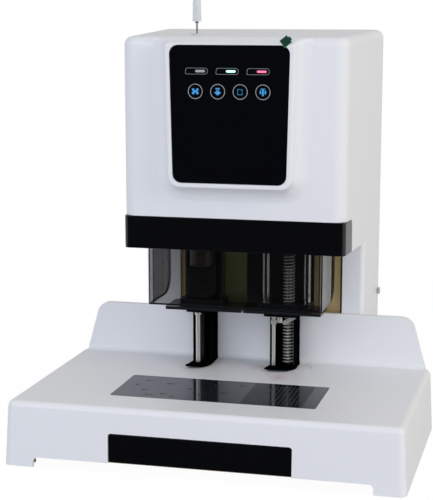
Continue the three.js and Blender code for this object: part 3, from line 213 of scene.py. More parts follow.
# a loop of points with its corners rounded, by one radius or by one for each corner
def outline(points, radii, steps=10):
    loop = []
    count = len(points)
    for i, here in enumerate(points):
        corner = Vector(here)
        back = (Vector(points[i - 1]) - corner).normalized()
        on = (Vector(points[(i + 1) % count]) - corner).normalized()
        radius = radii[i] if isinstance(radii, (list, tuple)) else radii
        if radius <= 0:
            loop.append(tuple(corner))
            continue
        half = math.acos(max(-1, min(1, back.dot(on)))) / 2
        middle = corner + (back + on).normalized() * (radius / math.sin(half))
        start = corner + back * (radius / math.tan(half)) - middle
        sweep = (math.pi - 2 * half) * (1 if on.x * back.y - on.y * back.x > 0 else -1)
        for k in range(steps + 1):
            a = sweep * k / steps
            x = start.x * math.cos(a) - start.y * math.sin(a)
            y = start.x * math.sin(a) + start.y * math.cos(a)
            loop.append((middle.x + x, middle.y + y))
    return loop


def rectangle(x0, x1, y0, y1, radius=0, steps=10):
    return outline([(x0, y0), (x1, y0), (x1, y1), (x0, y1)], radius, steps)


def disc(x, y, radius, steps=40):
    return [(x + radius * math.cos(2 * math.pi * k / steps), y + radius * math.sin(2 * math.pi * k / steps))
            for k in range(steps)]


def quarter(steps):
    return [math.pi / 2 * k / steps for k in range(steps + 1)]


def newObject(name, data):
    item = bpy.data.objects.new(name, data)
    scene.collection.objects.link(item)
    return item


# a solid through rings of points, closed by its first and last ring
def skin(name, rings):
    mesh = bpy.data.meshes.new(name)
    count = len(rings[0])
    points = [tuple(c * mm for c in p) for ring in rings for p in ring]
    faces = []
    for r in range(len(rings) - 1):
        for k in range(count):
            n = (k + 1) % count
            faces.append((r * count + k, r * count + n, (r + 1) * count + n, (r + 1) * count + k))
    faces.append(tuple(range(count - 1, -1, -1)))
    faces.append(tuple((len(rings) - 1) * count + k for k in range(count)))
    mesh.from_pydata(points, [], faces)
    mesh.validate()
    bm = bmesh.new()
    bm.from_mesh(mesh)
    bmesh.ops.recalc_face_normals(bm, faces=bm.faces)
    bm.to_mesh(mesh)
    bm.free()
    return newObject(name, mesh)


def upright(name, loop, z0, z1):
    return skin(name, [[(x, y, z) for x, y in loop] for z in (z0, z1)])


def facing(name, loop, y0, y1):
    return skin(name, [[(x, y, z) for x, z in loop] for y in (y0, y1)])


def sideways(name, loop, x0, x1):
    return skin(name, [[(x, y, z) for y, z in loop] for x in (x0, x1)])


def box(x0, x1, y0, y1, z0, z1):
    return upright("block", rectangle(x0, x1, y0, y1), z0, z1)


# a body of revolution about an upright axis, from pairs of radius and height
def turned(name, x, y, profile, steps=48):
    return skin(name, [[(px, py, z) for px, py in disc(x, y, radius, steps)] for radius, z in profile])


def carve(piece, cutters, how="DIFFERENCE"):
    for cutter in cutters:
        step = piece.modifiers.new("cut", "BOOLEAN")
        step.operation = how
        step.solver = "EXACT"
        step.object = cutter
        shown = piece.evaluated_get(bpy.context.evaluated_depsgraph_get())
        mesh = bpy.data.meshes.new_from_object(shown)
        piece.modifiers.clear()
        old = piece.data
        piece.data = mesh
        bpy.data.meshes.remove(old)
        bpy.data.objects.remove(cutter)


# joins what is flat, rounds the sharp edges and shades the rest smooth
def polish(piece, material, bevel, segments=2):
    mesh = piece.data
    bm = bmesh.new()
    bm.from_mesh(mesh)
    bmesh.ops.remove_doubles(bm, verts=bm.verts, dist=0.002 * mm)
    bmesh.ops.dissolve_limit(bm, angle_limit=math.radians(0.6), verts=bm.verts, edges=bm.edges)
    for face in bm.faces:
        face.smooth = True
    bm.to_mesh(mesh)
    bm.free()
    mesh.materials.clear()
    mesh.materials.append(material)
    if bevel > 0:
        edge = piece.modifiers.new("edge", "BEVEL")
        edge.width = bevel * mm
        edge.segments = segments
        edge.limit_method = "ANGLE"
        edge.angle_limit = math.radians(32)  # a curve's own facets bend less than this
        edge.harden_normals = False
    even = piece.modifiers.new("even", "WEIGHTED_NORMAL")
    even.keep_sharp = True
    even.weight = 90
    return piece


def settle(piece, body, replaced=()):
    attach(piece, body)
    if replaced:
        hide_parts(*replaced)


# sizes that the solids share; far and deep reach past every wall
yFront, yBack = -163.5, 163.5
toolY, drillX, rivetX = 37.0, 47.0, -49.0
far, deep = 400, -20
base = {
    "half": 200, "top": 66.3, "lift": 1, "corner": 7, "round": 6, "draft": 3.5, "wall": 3,
    "yFence": 64.7, "yFenceBack": 70.7, "fenceTop": 121.75, "slantFoot": 191.5, "slantTop": 175.3,
    "fenceRadius": 14.5, "cove": 6.0, "inFoot": 169, "rise": 11, "riseRadius": 5,
    "drawerHalf": 91.3, "drawerTop": 40.7, "drawerRadius": 3, "railHalf": 98.5, "railTop": 13,
    "pocketHalf": 104.8, "pocketFront": -115.8, "pocketBack": -33.2, "pocketRadius": 2.8, "pocketFloor": 64.4,
    "padX": 54, "padHole": 18.3, "anvilHole": 8.3, "holeLow": 50, "holeHigh": 70,
}


# the skirt leans in towards its top, as a moulding has to
def leaned(point):
    x, y, z = point
    inset, back = base["draft"] * z / base["top"], base["yFenceBack"]
    return (x * (1 - inset / base["half"]), back + (y - back) * (1 - inset / (back - yFront)), z)


def baseBlock(name, inset, z0, z1):
    rounding = base["round"] - inset

    def ring(extra, z):
        d = inset + extra
        loop = rectangle(-base["half"] + d, base["half"] - d, yFront + d, base["yFenceBack"] - d,
                         max(0.5, base["corner"] - d))
        return [leaned((x, y, z)) for x, y in loop]

    rings = [ring(0, z0)]
    rings += [ring(rounding * (1 - math.cos(a)), z1 - rounding + rounding * math.sin(a)) for a in quarter(8)]
    return skin(name, rings)


def makeBase():
    inner = base["top"] - base["wall"]
    shell = baseBlock("base_shell", 0, base["lift"], base["top"])
    foot, top, tall = base["slantFoot"], base["slantTop"], base["fenceTop"]
    fence = facing("fence", outline([(-foot, inner), (foot, inner), (top, tall), (-top, tall)],
                                    [0, 0, base["fenceRadius"], base["fenceRadius"]]),
                   base["yFence"], base["yFenceBack"])
    cove, sunk = base["cove"], 1
    y, z = base["yFence"] - cove, base["top"] + cove
    arc = [(y + cove * math.sin(a), z - cove * math.cos(a)) for a in quarter(8)]
    profile = [(base["yFence"] + sunk, base["top"] - sunk), (y, base["top"] - sunk)] + arc
    profile.append((base["yFence"] + sunk, z))
    fillet = sideways("cove", profile, -foot + 2, foot - 2)
    carve(shell, [fence, fillet], "UNION")
    x, drawer, rail, pocket = base["inFoot"], base["drawerHalf"], base["railHalf"], base["pocketHalf"]
    low, high = base["holeLow"], base["holeHigh"]
    carve(shell, [
        baseBlock("hollow", base["wall"], deep, inner),
        facing("rise", rectangle(-x, x, deep, base["rise"], base["riseRadius"]), yFront - 2, yFront + 6),
        facing("mouth", rectangle(-drawer, drawer, deep, base["drawerTop"], base["drawerRadius"]),
               yFront - 2, yFront + 9),
        box(-rail, rail, base["yFenceBack"] - 6, base["yFenceBack"] + 2, deep, base["railTop"]),
        upright("pocket",
                rectangle(-pocket, pocket, base["pocketFront"], base["pocketBack"], base["pocketRadius"]),
                base["pocketFloor"], high),
        turned("pad_hole", base["padX"], toolY, [(base["padHole"], low), (base["padHole"], high)]),
        turned("anvil_hole", rivetX, toolY, [(base["anvilHole"], low), (base["anvilHole"], high)]),
        box(-220, 220, yFront - 2, 90, deep - 10, base["lift"]),
    ])
    settle(polish(shell, whiteAbs, 0.5, 3), "housing", ["base_cover"])


# nod is how far the top slopes down to the front, strip and stripLeft where the walls beside the tools end
head = {
    "y": -25.7, "front": 116.4, "back": 127.6, "bottom": 200.8, "top": 423.8, "corner": 14, "round": 9,
    "nod": 5.5, "wall": 3, "yColumn": 71.0, "columnHalf": 122.2, "columnEdge": 5.2, "floor": 2, "yInside": 74,
    "strip": 98.5, "stripLeft": 83, "yStrip": 76, "mouthTop": 204.8,
    "rearFrame": 15.6, "rearLow": 10, "rearHigh": 406, "rearRadius": 6,
}
band = {"top": 234.7, "back": 7.3, "radius": 7, "corner": 6, "gap": 0.3,
        "yAhead": -90, "zUnder": 130, "xPast": 200, "zInside": 190}
feed = {"x": -50.0, "y": 22.7, "hole": 6.3, "holeLow": 405, "holeHigh": 430, "rimFrom": 400, "rimDrop": 4.6}


def headRing(inset, z, corner):
    slope = (head["back"] - head["front"]) / (yBack - head["y"])
    front = head["front"] + inset * slope - inset
    back = head["back"] - inset * slope - inset
    y0, y1 = head["y"] + inset, yBack - inset
    loop = outline([(-front, y0), (front, y0), (back, y1), (-back, y1)], max(0.5, corner - inset), 12)
    return [(x, y, z) for x, y in loop]


def headBlock(name, inset, z0, z1, corner):
    rounding = head["round"] - inset
    rings = [headRing(inset, z0, corner)]
    for a in quarter(10):
        level = headRing(inset + rounding * (1 - math.cos(a)), z1 - rounding + rounding * math.sin(a), corner)
        rings.append([(x, y, z - head["nod"] * (yBack - y) / (yBack - head["y"])) for x, y, z in level])
    return skin(name, rings)


# the panel's raised surround: roll rounds its rim, sweep and rise are how wide and how high its flank spreads
pod = {
    "y": -41.7, "top": 67.3, "bottom": 64.2, "z1": 412.8, "z0": 267.2, "radius": 12, "lip": 5.6, "topLip": 2.1,
    "sweep": 18, "rise": 4.6, "roll": 2.4, "topRadius": 4, "buried": -15,
    "seatGap": 0.3, "seatRadius": 9, "seatDepth": 2.8, "ledge": 3, "windowRadius": 6,
}


def podLoop(inset, radius, rise=None):
    top, bottom = pod["top"] - inset, pod["bottom"] - inset
    z0, z1 = pod["z0"] + inset, pod["z1"] - (inset - pod["lip"] + pod["topLip"] if rise is None else rise)
    return outline([(-bottom, z0), (bottom, z0), (top, z1), (-top, z1)], radius)


def podBlock():
    near, away, roll = pod["y"], head["y"] + 0.3, pod["roll"]
    rings = []
    for a in quarter(6)[:-1]:  # the face rolls over its rim
        inset = roll * (1 - math.sin(a))
        y = near + roll * (1 - math.cos(a))
        low, high = pod["radius"] - inset, max(1, pod["topRadius"] - inset)
        loop = podLoop(inset, [low, low, high, high], min(inset, pod["topLip"] * 0.6))
        rings.append([(x, y, z) for x, z in loop])
    for a in quarter(14):  # then its flank sweeps out in a hollow curve into the head
        out = pod["sweep"] * (1 - math.cos(a))
        y = near + roll + (away - near - roll) * math.sin(a)
        low, high = pod["radius"] + out, pod["topRadius"]
        rings.append([(x, y, z) for x, z in podLoop(-out, [low, low, high, high], -pod["rise"] * math.sin(a))])
    rings.append([(x, pod["buried"], z) for x, _, z in rings[-1]])
    return skin("surround", rings)


def bandZone(name, grow):
    y0, z0, y1, z1 = band["yAhead"], band["zUnder"], band["back"] + grow, band["top"] + grow
    loop = outline([(y0, z0), (y1, z0), (y1, z1), (y0, z1)], [0, 0, band["radius"], 0])
    return sideways(name, loop, -band["xPast"], band["xPast"])


# rounds an upright front edge of the column; side is 1 for the right one and -1 for the left
def columnEdge(side):
    radius = head["columnEdge"]
    x, y = head["columnHalf"] - radius, head["yColumn"] + radius
    arc = [(x + radius * math.sin(a), y - radius * math.cos(a)) for a in quarter(8)]
    loop = arc + [(x + 4 * radius, y), (x + 4 * radius, y - 2 * radius), (x, y - 2 * radius)]
    return upright("column_edge", [(side * px, py) for px, py in loop][::side], -5, head["bottom"])


def makeHead():
    wall, top, strip, y = head["wall"], head["top"], head["strip"], head["y"]
    shell = headBlock("head_shell", 0, -60, top, head["corner"])
    inside = headBlock("inside", wall, -80, top - wall, head["corner"])
    carve(inside, [box(-far, far, -far, head["yInside"], -far, head["bottom"] + head["floor"])])
    carve(inside, [
        box(-strip, strip, y, head["yStrip"], -far, base["top"]),
        box(-strip, strip, y, head["yColumn"], -far, head["mouthTop"]),
        box(-head["stripLeft"], strip, y, head["yStrip"], -far, head["mouthTop"]),
    ], "UNION")
    rear = head["back"] - head["rearFrame"]
    carve(shell, [
        box(-far, far, -far, head["yColumn"], -far, head["bottom"]),
        box(-far, far, -far, far, -far, base["lift"]),
        inside,
        bandZone("band_zone", band["gap"]),
        columnEdge(1),
        columnEdge(-1),
        facing("rear_mouth", rectangle(-rear, rear, head["rearLow"], head["rearHigh"], head["rearRadius"]),
               yBack - 6, yBack + 2),
        turned("feed_hole", feed["x"], feed["y"],
               [(feed["hole"], feed["holeLow"]), (feed["hole"], feed["holeHigh"])]),
    ])
    carve(shell, [podBlock()], "UNION")
    carve(shell, [
        facing("seat", podLoop(pod["lip"] - pod["seatGap"], pod["seatRadius"]),
               pod["y"] - 2, pod["y"] + pod["seatDepth"]),
        facing("window", podLoop(pod["lip"] + pod["ledge"], pod["windowRadius"]), pod["y"], y + 8),
    ])
    settle(polish(shell, whiteAbs, 0.5, 3), "housing", ["head_cover", "panel_pod"])


def makeBand():
    ring = headBlock("front_band_skin", 0, head["bottom"], head["top"], band["corner"])
    carve(ring, [headBlock("inside", head["wall"], band["zInside"], head["top"], band["corner"])])
    carve(ring, [bandZone("keep", 0)], "INTERSECT")
    settle(polish(ring, blackAbs, 0.6, 3), "housing", ["front_band"])


print("covers")
makeBase()
makeHead()
makeBand()

print("pieces that keep the solid's shape")
# the finish of each node and the width of its bevel in mm
finishes = {
    "worktop_panel": (tinted, 0.3), "chip_drawer": (blackAbs, 0.8), "rear_cover": (whiteAbs, 0.5),
    "guard": (smoked, 1.3), "control_panel": (blackFilm, 0.3), "panel_board": (guide, 0.2),
    "key_bind": (blackFilm, 0.15), "key_lower": (blackFilm, 0.15), "key_laser": (blackFilm, 0.15),
    "key_drill": (blackFilm, 0.15), "base_plate": (zincSheet, 0.3), "frame_side_left": (zincSheet, 0.3),
    "frame_side_right": (zincSheet, 0.3), "frame_back": (oliveSheet, 0.3), "top_deck": (zincSheet, 0.3),
    "tool_shield": (darkSteel, 0.3), "drill_press_plate": (darkSteel, 0.4), "rivet_press_plate": (darkSteel, 0.4),
    "drill_foot": (blackLacquer, 0.4), "rivet_foot": (blackLacquer, 0.4),
    "foot_front_left": (paleRubberLifted, 0.8), "foot_front_right": (paleRubberLifted, 0.8),
    "foot_rear_left": (paleRubberLifted, 0.8), "foot_rear_right": (paleRubberLifted, 0.8),
    "tool_bed": (steelGround, 0.3), "spindle": (darkSteel, 0.3), "spindle_bearings": (steelGround, 0.3),
    "drill_bit": (steelGround, 0.1), "drill_lift_screw": (steelGround, 0.0),
    "rivet_lift_screw": (steelGround, 0.0), "side_screw_left": (satin, 0.6), "side_screw_right": (satin, 0.6),
    "feed_rod": (steelGround, 0.1), "drill_guide_rods": (brightWire, 0.4), "rivet_guide_rods": (darkSteel, 0.4),
    "drill_carriage": (alu, 0.6), "rivet_carriage": (alu, 0.6), "motor_pulley": (alu, 0.4),
    "anvil_heater": (alu, 0.5), "power_supply": (alu, 0.6), "rivet_anvil": (brassTurned, 0.3),
    "rivet_punch": (heaterCoat, 0.3), "laser_module": (brassTurned, 0.3),
    "drill_motor": (canGrey, 0.8), "drill_lift_motor": (canGrey, 1.0), "rivet_lift_motor": (canGrey, 1.0),
    "drive_belt": (rubber, 0.2), "rivet_sleeve": (warmGrey, 0.6), "rivet_heater": (heaterCoat, 0.6),
    "control_board": (board, 0.2), "power_inlet": (socket, 0.4), "power_switch": (socket, 0.6),
    "feed_tube": (milky, 0.3), "feed_knob": (milky, 0.5), "cutting_pad": (nylon, 0.4),
}
pressRodsFrom = 143  # mm: above this the drill's presser is bare chromed rods
for node, (material, bevel) in finishes.items():
    piece = newObject(node + "_finish", nodes[node].data.copy())
    settle(polish(piece, material, bevel), bodyOf[node], [node])
    # the guard's bevels get the painted black of its sawn edge, a painted shade
    if node == "guard":  # its bevels are the sawn edge
        piece.data.materials.append(edgeShade)
        piece.modifiers["edge"].material = 1
    if node == "drill_press_plate":
        piece.data.materials.append(chromed)
        for face in piece.data.polygons:
            if face.center.z > pressRodsFrom * mm:
                face.material_index = 1
    if node == "feed_tube":  # its rim follows the slope of the head's top
        for corner in piece.data.vertices:
            if corner.co.z > feed["rimFrom"] * mm:
                corner.co.z -= feed["rimDrop"] * mm


# Thin flat prints a hair in front of the surface they lie on, as one piece. Each loop is a filled outline, or an
# outer and an inner one with the ring between them filled; place puts a flat point where it goes.
def plates(name, material, loops, place, body="housing"):
    mesh = bpy.data.meshes.new(name)
    bm = bmesh.new()
    for loop in loops:
        outer, inner = loop if isinstance(loop, tuple) else (loop, None)
        rim = [bm.verts.new([c * mm for c in place(*p)]) for p in outer]
        if inner is None:
            bm.faces.new(rim)
            continue
        hole = [bm.verts.new([c * mm for c in place(*p)]) for p in inner]
        for k in range(len(rim)):
            n = (k + 1) % len(rim)
            bm.faces.new((rim[k], rim[n], hole[n], hole[k]))
    bmesh.ops.recalc_face_normals(bm, faces=bm.faces)
    bm.to_mesh(mesh)
    bm.free()
    mesh.materials.append(material)
    settle(newObject(name, mesh), body, ())


def onFront(y):
    return lambda x, z: (x, y, z)


def onTable(z):
    return lambda x, y: (x, y, z)


def moved(loop, x, z):
    return [(px + x, pz + z) for px, pz in loop]


# drops are measured down from the panel's top edge
panelPrint = {
    "y": -41.26, "haloY": -41.24, "pillDrop": 25.6, "keyDrop": 45.7, "keyX": (-34.65, -11.55, 11.55, 34.65),
    "pillX": (-33.5, -2.0, 29.5), "pillHalf": 11.8, "pillTall": 3.2, "pillSlant": 1.0, "line": 0.42,
    "ring": 7.5, "ringLine": 0.5, "iconWide": 0.9, "iconTall": 0.86,
    "lightX": 3.9, "lightHalf": 5.2, "lightTall": 1.5, "haloShare": 0.22,
    # the first light is out: its grey glow, in the film and at the guide's end, is painted light standing in for
    # its pale window
    "lights": (("unlit_painted_glow", 0x6A6B6E, 0x9B9CA0, 0.3), ("green", 0x2F7A58, 0xC9FFE6, 1.5),
               ("red", 0x8C2440, 0xF0708F, 0.95)),
}
icons = {
    "bind": [moved(disc(0, 0, 1.5, 16), dx * 2.35, dz * 1.95) for dx in (-1, 1) for dz in (-1, 1)] + [
        [(-1.5, -2.3), (0, -0.9), (1.5, -2.3), (2.6, -0.7), (2.6, 0.7), (1.5, 2.3), (0, 0.9), (-1.5, 2.3),
         (-2.6, 0.7), (-2.6, -0.7)]],
    "lower": [rectangle(-2.5, 2.5, 3.2, 4.1), rectangle(-2.1, 2.1, 1.6, 2.4), rectangle(-1.5, 1.5, -1.2, 0.9),
              [(-3.9, -1.0), (0, -4.5), (3.9, -1.0), (2.4, -0.2), (0, -2.0), (-2.4, -0.2)]],
    "laser": [rectangle(-3.2, -2.5, -3.6, 3.2), rectangle(-2.5, 0.8, 2.5, 3.2), rectangle(-2.5, 2.6, -3.6, -2.9),
              rectangle(1.9, 2.6, -2.9, 0.2), disc(2.1, 2.0, 0.9, 16)],
    "drill": [rectangle(-2.6, 2.6, 3.1, 4.0), rectangle(-0.9, 0.9, -3.4, 3.1),
              [(-1.5, -3.2), (0, -4.8), (1.5, -3.2)], rectangle(-3.6, -1.9, -2.2, 1.9, 0.7, 3),
              rectangle(1.9, 3.6, -2.2, 1.9, 0.7, 3)],
}
panelTop = pod["z1"] - pod["topLip"]
pillZ, keyZ = panelTop - panelPrint["pillDrop"], panelTop - panelPrint["keyDrop"]


def pill(x, inset):
    w, t, cut = panelPrint["pillHalf"] - inset, panelPrint["pillTall"] - inset, panelPrint["pillSlant"]
    corners = [(x - w, pillZ - t), (x + w, pillZ - t), (x + w, pillZ + t), (x - w + cut, pillZ + t)]
    return outline(corners, [1.4, t * 0.9, t * 0.9, 2.0], 6)


def makePanelPrint():
    # screen ink on the film's back: thin even lines, which the lamps behind lift a little
    ink = glowing("print_grey_screened", 0x7E7F84, 0.06)
    ringInk = glowing("print_silver_screened", 0xA7A8AC, 0.12)
    # the same ink left clear over a blue lamp: it glows softly, and less at the laser's key
    inkBlue = glowing("icon_blue_backlit", 0x3A90CC, 0.4)
    inkDim = glowing("icon_blue_dim", 0x2C76A6, 0.2)
    onPanel = onFront(panelPrint["y"])
    across, line = panelPrint["pillX"], panelPrint["line"]
    plates("panel_outlines", ink, [(pill(x, 0), pill(x, line)) for x in across], onPanel)
    wide, tall, radius = panelPrint["iconWide"], panelPrint["iconTall"], panelPrint["ring"]
    for x, (name, icon) in zip(panelPrint["keyX"], icons.items()):
        loops = [moved([(px * wide, pz * tall) for px, pz in loop], x, keyZ) for loop in icon]
        plates("key_icon_" + name, inkDim if name == "laser" else inkBlue, loops, onPanel, name + "_key")
        ring = (disc(x, keyZ, radius), disc(x, keyZ, radius - panelPrint["ringLine"]))
        plates("key_ring_" + name, ringInk, [ring], onPanel, name + "_key")
    w, t = panelPrint["lightHalf"], panelPrint["lightTall"]
    for x, (name, halo, colour, power) in zip(across, panelPrint["lights"]):
        x += panelPrint["lightX"]
        # light in the film round the guide, and the guide's bright end; at the light that is out both glow as
        # painted light
        glow = glowing("light_halo_" + name, halo, power * panelPrint["haloShare"])
        plates("panel_halo_" + name, glow, [rectangle(x - w, x + w, pillZ - t, pillZ + t, t * 0.95, 5)],
               onFront(panelPrint["haloY"]))
        core = glowing("light_guide_" + name, colour, power)
        end = rectangle(x - w + 0.5, x + w - 0.5, pillZ - t * 0.6, pillZ + t * 0.6, t * 0.55, 5)
        plates("panel_light_" + name, core, [end], onPanel)


pullTab = {
    "x": 57.3, "z": 414.6, "turn": 38, "y": -41.78, "yInner": -41.84, "inner": 0.9,
    "loop": [(-4.6, -4.4), (4.6, -4.4), (4.6, -2.4), (6.4, -2.4), (6.4, 1.8), (4.6, 1.8), (4.6, 4.4),
             (-4.6, 4.4)],
}


def makePullTab():
    # coloured tape on the film's corner: flat dark green, paler where its cut edge shows
    green = surface("film_tab_green", 0x063A2A, 0.4, tone=0.1, bump=0.0)
    mint = surface("film_tab_edge_mint", 0x4E8C74, 0.4, tone=0.1, bump=0.0)
    c, s = math.cos(math.radians(pullTab["turn"])), math.sin(math.radians(pullTab["turn"]))

    def spun(size):
        loop = [(x * size, z * size) for x, z in pullTab["loop"]]
        return [(pullTab["x"] + x * c - z * s, pullTab["z"] + x * s + z * c) for x, z in loop]

    plates("film_tab_edge", mint, [spun(1)], onFront(pullTab["y"]))
    plates("film_tab", green, [spun(pullTab["inner"])], onFront(pullTab["yInner"]))


print("panel prints")
makePanelPrint()
makePullTab()

worktopPrint = {
    "x": (28.5, 90.5), "y": (-112.5, -36.5), "pitch": 4.4, "line": 0.4, "margin": 2, "z": 66.34, "zTop": 66.38,
    # where each smear starts, and its length
    "smears": [(-86, -52, 7), (-80, -88, 6), (-62, -60, 9), (-58, -98, 7), (-40, -44, 6), (-36, -74, 10),
               (-20, -92, 8), (-12, -56, 7), (-92, -70, 5), (-72, -104, 8), (-46, -106, 6), (2, -80, 7),
               (14, -50, 6)],
}


def makeWorktopPrint():
    # a glossy black field on the acrylic's back, a pale grid of fine lines on it, and matt smears from hands
    dark = surface("worktop_gloss_dark_print", 0x0C0F13, 0.08, tone=0.2, bump=0.0, spread=0.02,
                   sockets={"Specular IOR Level": 0.13})
    light = surface("worktop_grid_pale_print", 0x5A6168, 0.4, tone=0.05, bump=0.0,
                    sockets={"Specular IOR Level": 0.2})
    smear = surface("worktop_smear_matt", 0x2B3036, 0.5, tone=0.1, bump=0.0,
                    sockets={"Specular IOR Level": 0.15})
    (x0, x1), (y0, y1) = worktopPrint["x"], worktopPrint["y"]
    pitch, w, m = worktopPrint["pitch"], worktopPrint["line"], worktopPrint["margin"]
    plates("worktop_inlay", dark, [rectangle(x0, x1, y0, y1, 1, 4)], onTable(worktopPrint["z"]))
    columns = [x0 + m + pitch * i for i in range(int((x1 - x0 - m) / pitch))]
    rows = [y0 + m + pitch * i for i in range(int((y1 - y0 - m) / pitch))]
    grid = [rectangle(x, x + w, y0 + m, y1 - m) for x in columns]
    grid += [rectangle(x0 + m, x1 - m, y, y + w) for y in rows]
    plates("worktop_grid", light, grid, onTable(worktopPrint["zTop"]))
    smears = []
    for x, y, long in worktopPrint["smears"]:
        smears.append(outline([(x, y), (x + long, y + 0.6), (x + long + 1, y + 1.8), (x + 0.4, y + 1.1)], 0.3, 3))
        smears.append(rectangle(x + long * 0.3, x + long * 0.3 + 0.9, y - 3, y))
    plates("worktop_smears", smear, smears, onTable(worktopPrint["zTop"]))


laserSpots = {"front": (33, 57, -26, 12), "side": (4, 30, 16, 42), "z": 66.36, "colour": 0xF59AB0,
              "strength": 0.2}


def makeLaserSpots():
    # laser light on the white table: a faint pink that fades out to nothing
    material, tree = newMaterial("laser_spot_light", plain=False)
    place = addNode(tree, "ShaderNodeTexCoord")
    centred = addNode(tree, "ShaderNodeMapping", {"Location": (-1, -1, 0), "Scale": (2, 2, 0)},
                      {"Vector": place.outputs["Generated"]})
    spot = addNode(tree, "ShaderNodeTexGradient", {"gradient_type": "SPHERICAL"}, {"Vector": centred.outputs[0]})
    amount = addNode(tree, "ShaderNodeMath", {"operation": "MULTIPLY", 1: laserSpots["strength"]},
                     {0: spot.outputs[1]})
    clear = addNode(tree, "ShaderNodeBsdfTransparent")
    pink = addNode(tree, "ShaderNodeBsdfDiffuse", {"Color": linear(laserSpots["colour"])})
    toOutput(tree, addNode(tree, "ShaderNodeMixShader", {}, {
        0: amount.outputs[0], 1: clear.outputs[0], 2: pink.outputs[0]}))
    for side in ("front", "side"):
        plates("laser_spot_" + side, material, [rectangle(*laserSpots[side])], onTable(laserSpots["z"]))


print("table prints")
makeWorktopPrint()
makeLaserSpots()

# x, y, radius and body of each bright post; its profile is how much wider than the post it is at each height
footRods = {
    "drill_foot_rod": (32.9, 26.3, 2.0, "drill_press"), "rivet_foot_rod": (-49.5, 21.6, 2.4, "rivet_press"),
}
rodProfile = [(-0.5, 70.1), (0, 70.6), (0, 122.3), (0.9, 122.6), (1.1, 123.2), (1.1, 125.4), (0.4, 126)]


def makeFootRods():
    for name, (x, y, r, body) in footRods.items():
        rod = turned(name, x, y, [(r + wider, z) for wider, z in rodProfile])
        settle(polish(rod, satin, 0.15), body, ())


guardEdgeShade = {"half": 92.5, "low": 139.8, "high": 200.6, "y": -17.36, "line": 1.0}


# a painted shade: dark lines painted on the front pane at both sides and below, where its sawn edge shows dark
# through it
def makeGuardEdgeShade():
    x, z0, z1, line = guardEdgeShade["half"], guardEdgeShade["low"], guardEdgeShade["high"], guardEdgeShade["line"]
    strips = [rectangle(-x, -x + line, z0, z1), rectangle(x - line, x, z0, z1),
              rectangle(-x + line, x - line, z0, z0 + line)]
    plates("guard_edge_shade_line", edgeShade, strips, onFront(guardEdgeShade["y"]))


# the nut on the drill foot's post, the cap screw beside it and the slanting tie plate
footFittings = {
    "nut": (32.9, 26.3, [(2.9, 115.6), (3.4, 116.1), (3.4, 120.3), (2.9, 120.8)]),
    "cap": (39.2, 27.2, [(2.6, 117.4), (3.0, 117.8), (3.0, 123.6), (2.5, 124.2)]),
    "key": [(1.5, 121.6), (1.5, 126)],
    "tie": [(42.6, 115.8), (45.6, 115.2), (57.8, 123.6), (57.2, 125.6), (50.4, 124.2), (42.2, 118.6)],
    "tieFront": 26.2, "tieBack": 27.4,
}


def makeFootFittings():
    nut = turned("drill_foot_nut", *footFittings["nut"], 6)
    x, y, profile = footFittings["cap"]
    cap = turned("drill_foot_cap_screw", x, y, profile, 32)
    carve(cap, [turned("key_socket", x, y, footFittings["key"], 6)])
    tie = facing("drill_foot_tie", outline(footFittings["tie"], 0.6, 4), footFittings["tieFront"],
                 footFittings["tieBack"])
    for piece in (nut, cap, tie):
        settle(polish(piece, satin, 0.2), "drill_press", ())


print("guard and foot fittings")
makeFootRods()
makeGuardEdgeShade()
makeFootFittings()

spring = {"outer": 6.4, "wire": 1.05, "curls": 38, "z0": 70.3, "z1": 203.7, "steps": 24, "sides": 10}


def makeSpring():
    wire, steps, sides = spring["wire"], spring["steps"], spring["sides"]
    radius = spring["outer"] - wire / 2
    low, high = spring["z0"] + wire, spring["z1"] - wire
    count = spring["curls"] * steps
    path = [Vector((radius, 0, spring["z0"]))]
    path += [Vector((radius * math.cos(2 * math.pi * i / steps), radius * math.sin(2 * math.pi * i / steps),
                     low + (high - low) * i / count)) for i in range(count + 1)]
    path.append(Vector((radius, 0, spring["z1"])))
    rings = []
    for i, point in enumerate(path):
        along = (path[min(i + 1, len(path) - 1)] - path[max(i - 1, 0)]).normalized()
        out = Vector((point.x, point.y, 0)).normalized()
        across = along.cross(out).normalized()
        square = across.cross(along)
        ring = []
        for k in range(sides):
            a = 2 * math.pi * k / sides
            p = point + square * (wire / 2 * math.cos(a)) + across * (wire / 2 * math.sin(a))
            ring.append((p.x + drillX, p.y + toolY, p.z))
        rings.append(ring)
    piece = skin("drill_spring_coil", rings)
    for face in piece.data.polygons:
        face.use_smooth = True
    piece.data.materials.append(brightWire)
    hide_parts("drill_spring")
    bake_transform(piece)


print("spring")
makeSpring()

# air is the strength of the even room light and overhead how much brighter it is above
studio = {
    "air": 0.46, "overhead": 1.15, "cool": (0.945, 0.975, 1.055, 1), "warm": (1.03, 1.0, 0.935, 1),
    "floorRadius": 0.95, "floorGlow": 1.05, "floorShare": 0.92,
}
lamps = {
    "front_softbox": {"place": (-1.3, -1.9, 1.2), "aim": (0, 0, 0.25), "size": (1.8, 1.3), "power": 13,
                      "colour": 0xF1F5FF, "mirrored": True},
    "low_fill": {"place": (0.3, -3.4, 0.4), "aim": (0, 0, 0.25), "size": (2.4, 0.6), "power": 29,
                 "colour": 0xEAF0FF, "mirrored": False},
    "right_softbox": {"place": (2.2, -0.7, 1.25), "aim": (0, 0, 0.2), "size": (1.4, 1.4), "power": 25,
                      "colour": 0xFFFAF3, "mirrored": False},
}
camera = {"place": (0.34045, -1.41293, 0.44645), "pitch": 79.12, "turn": 14.22, "lens": 101.66,
          "shift": (-0.0108, 0.0595)}


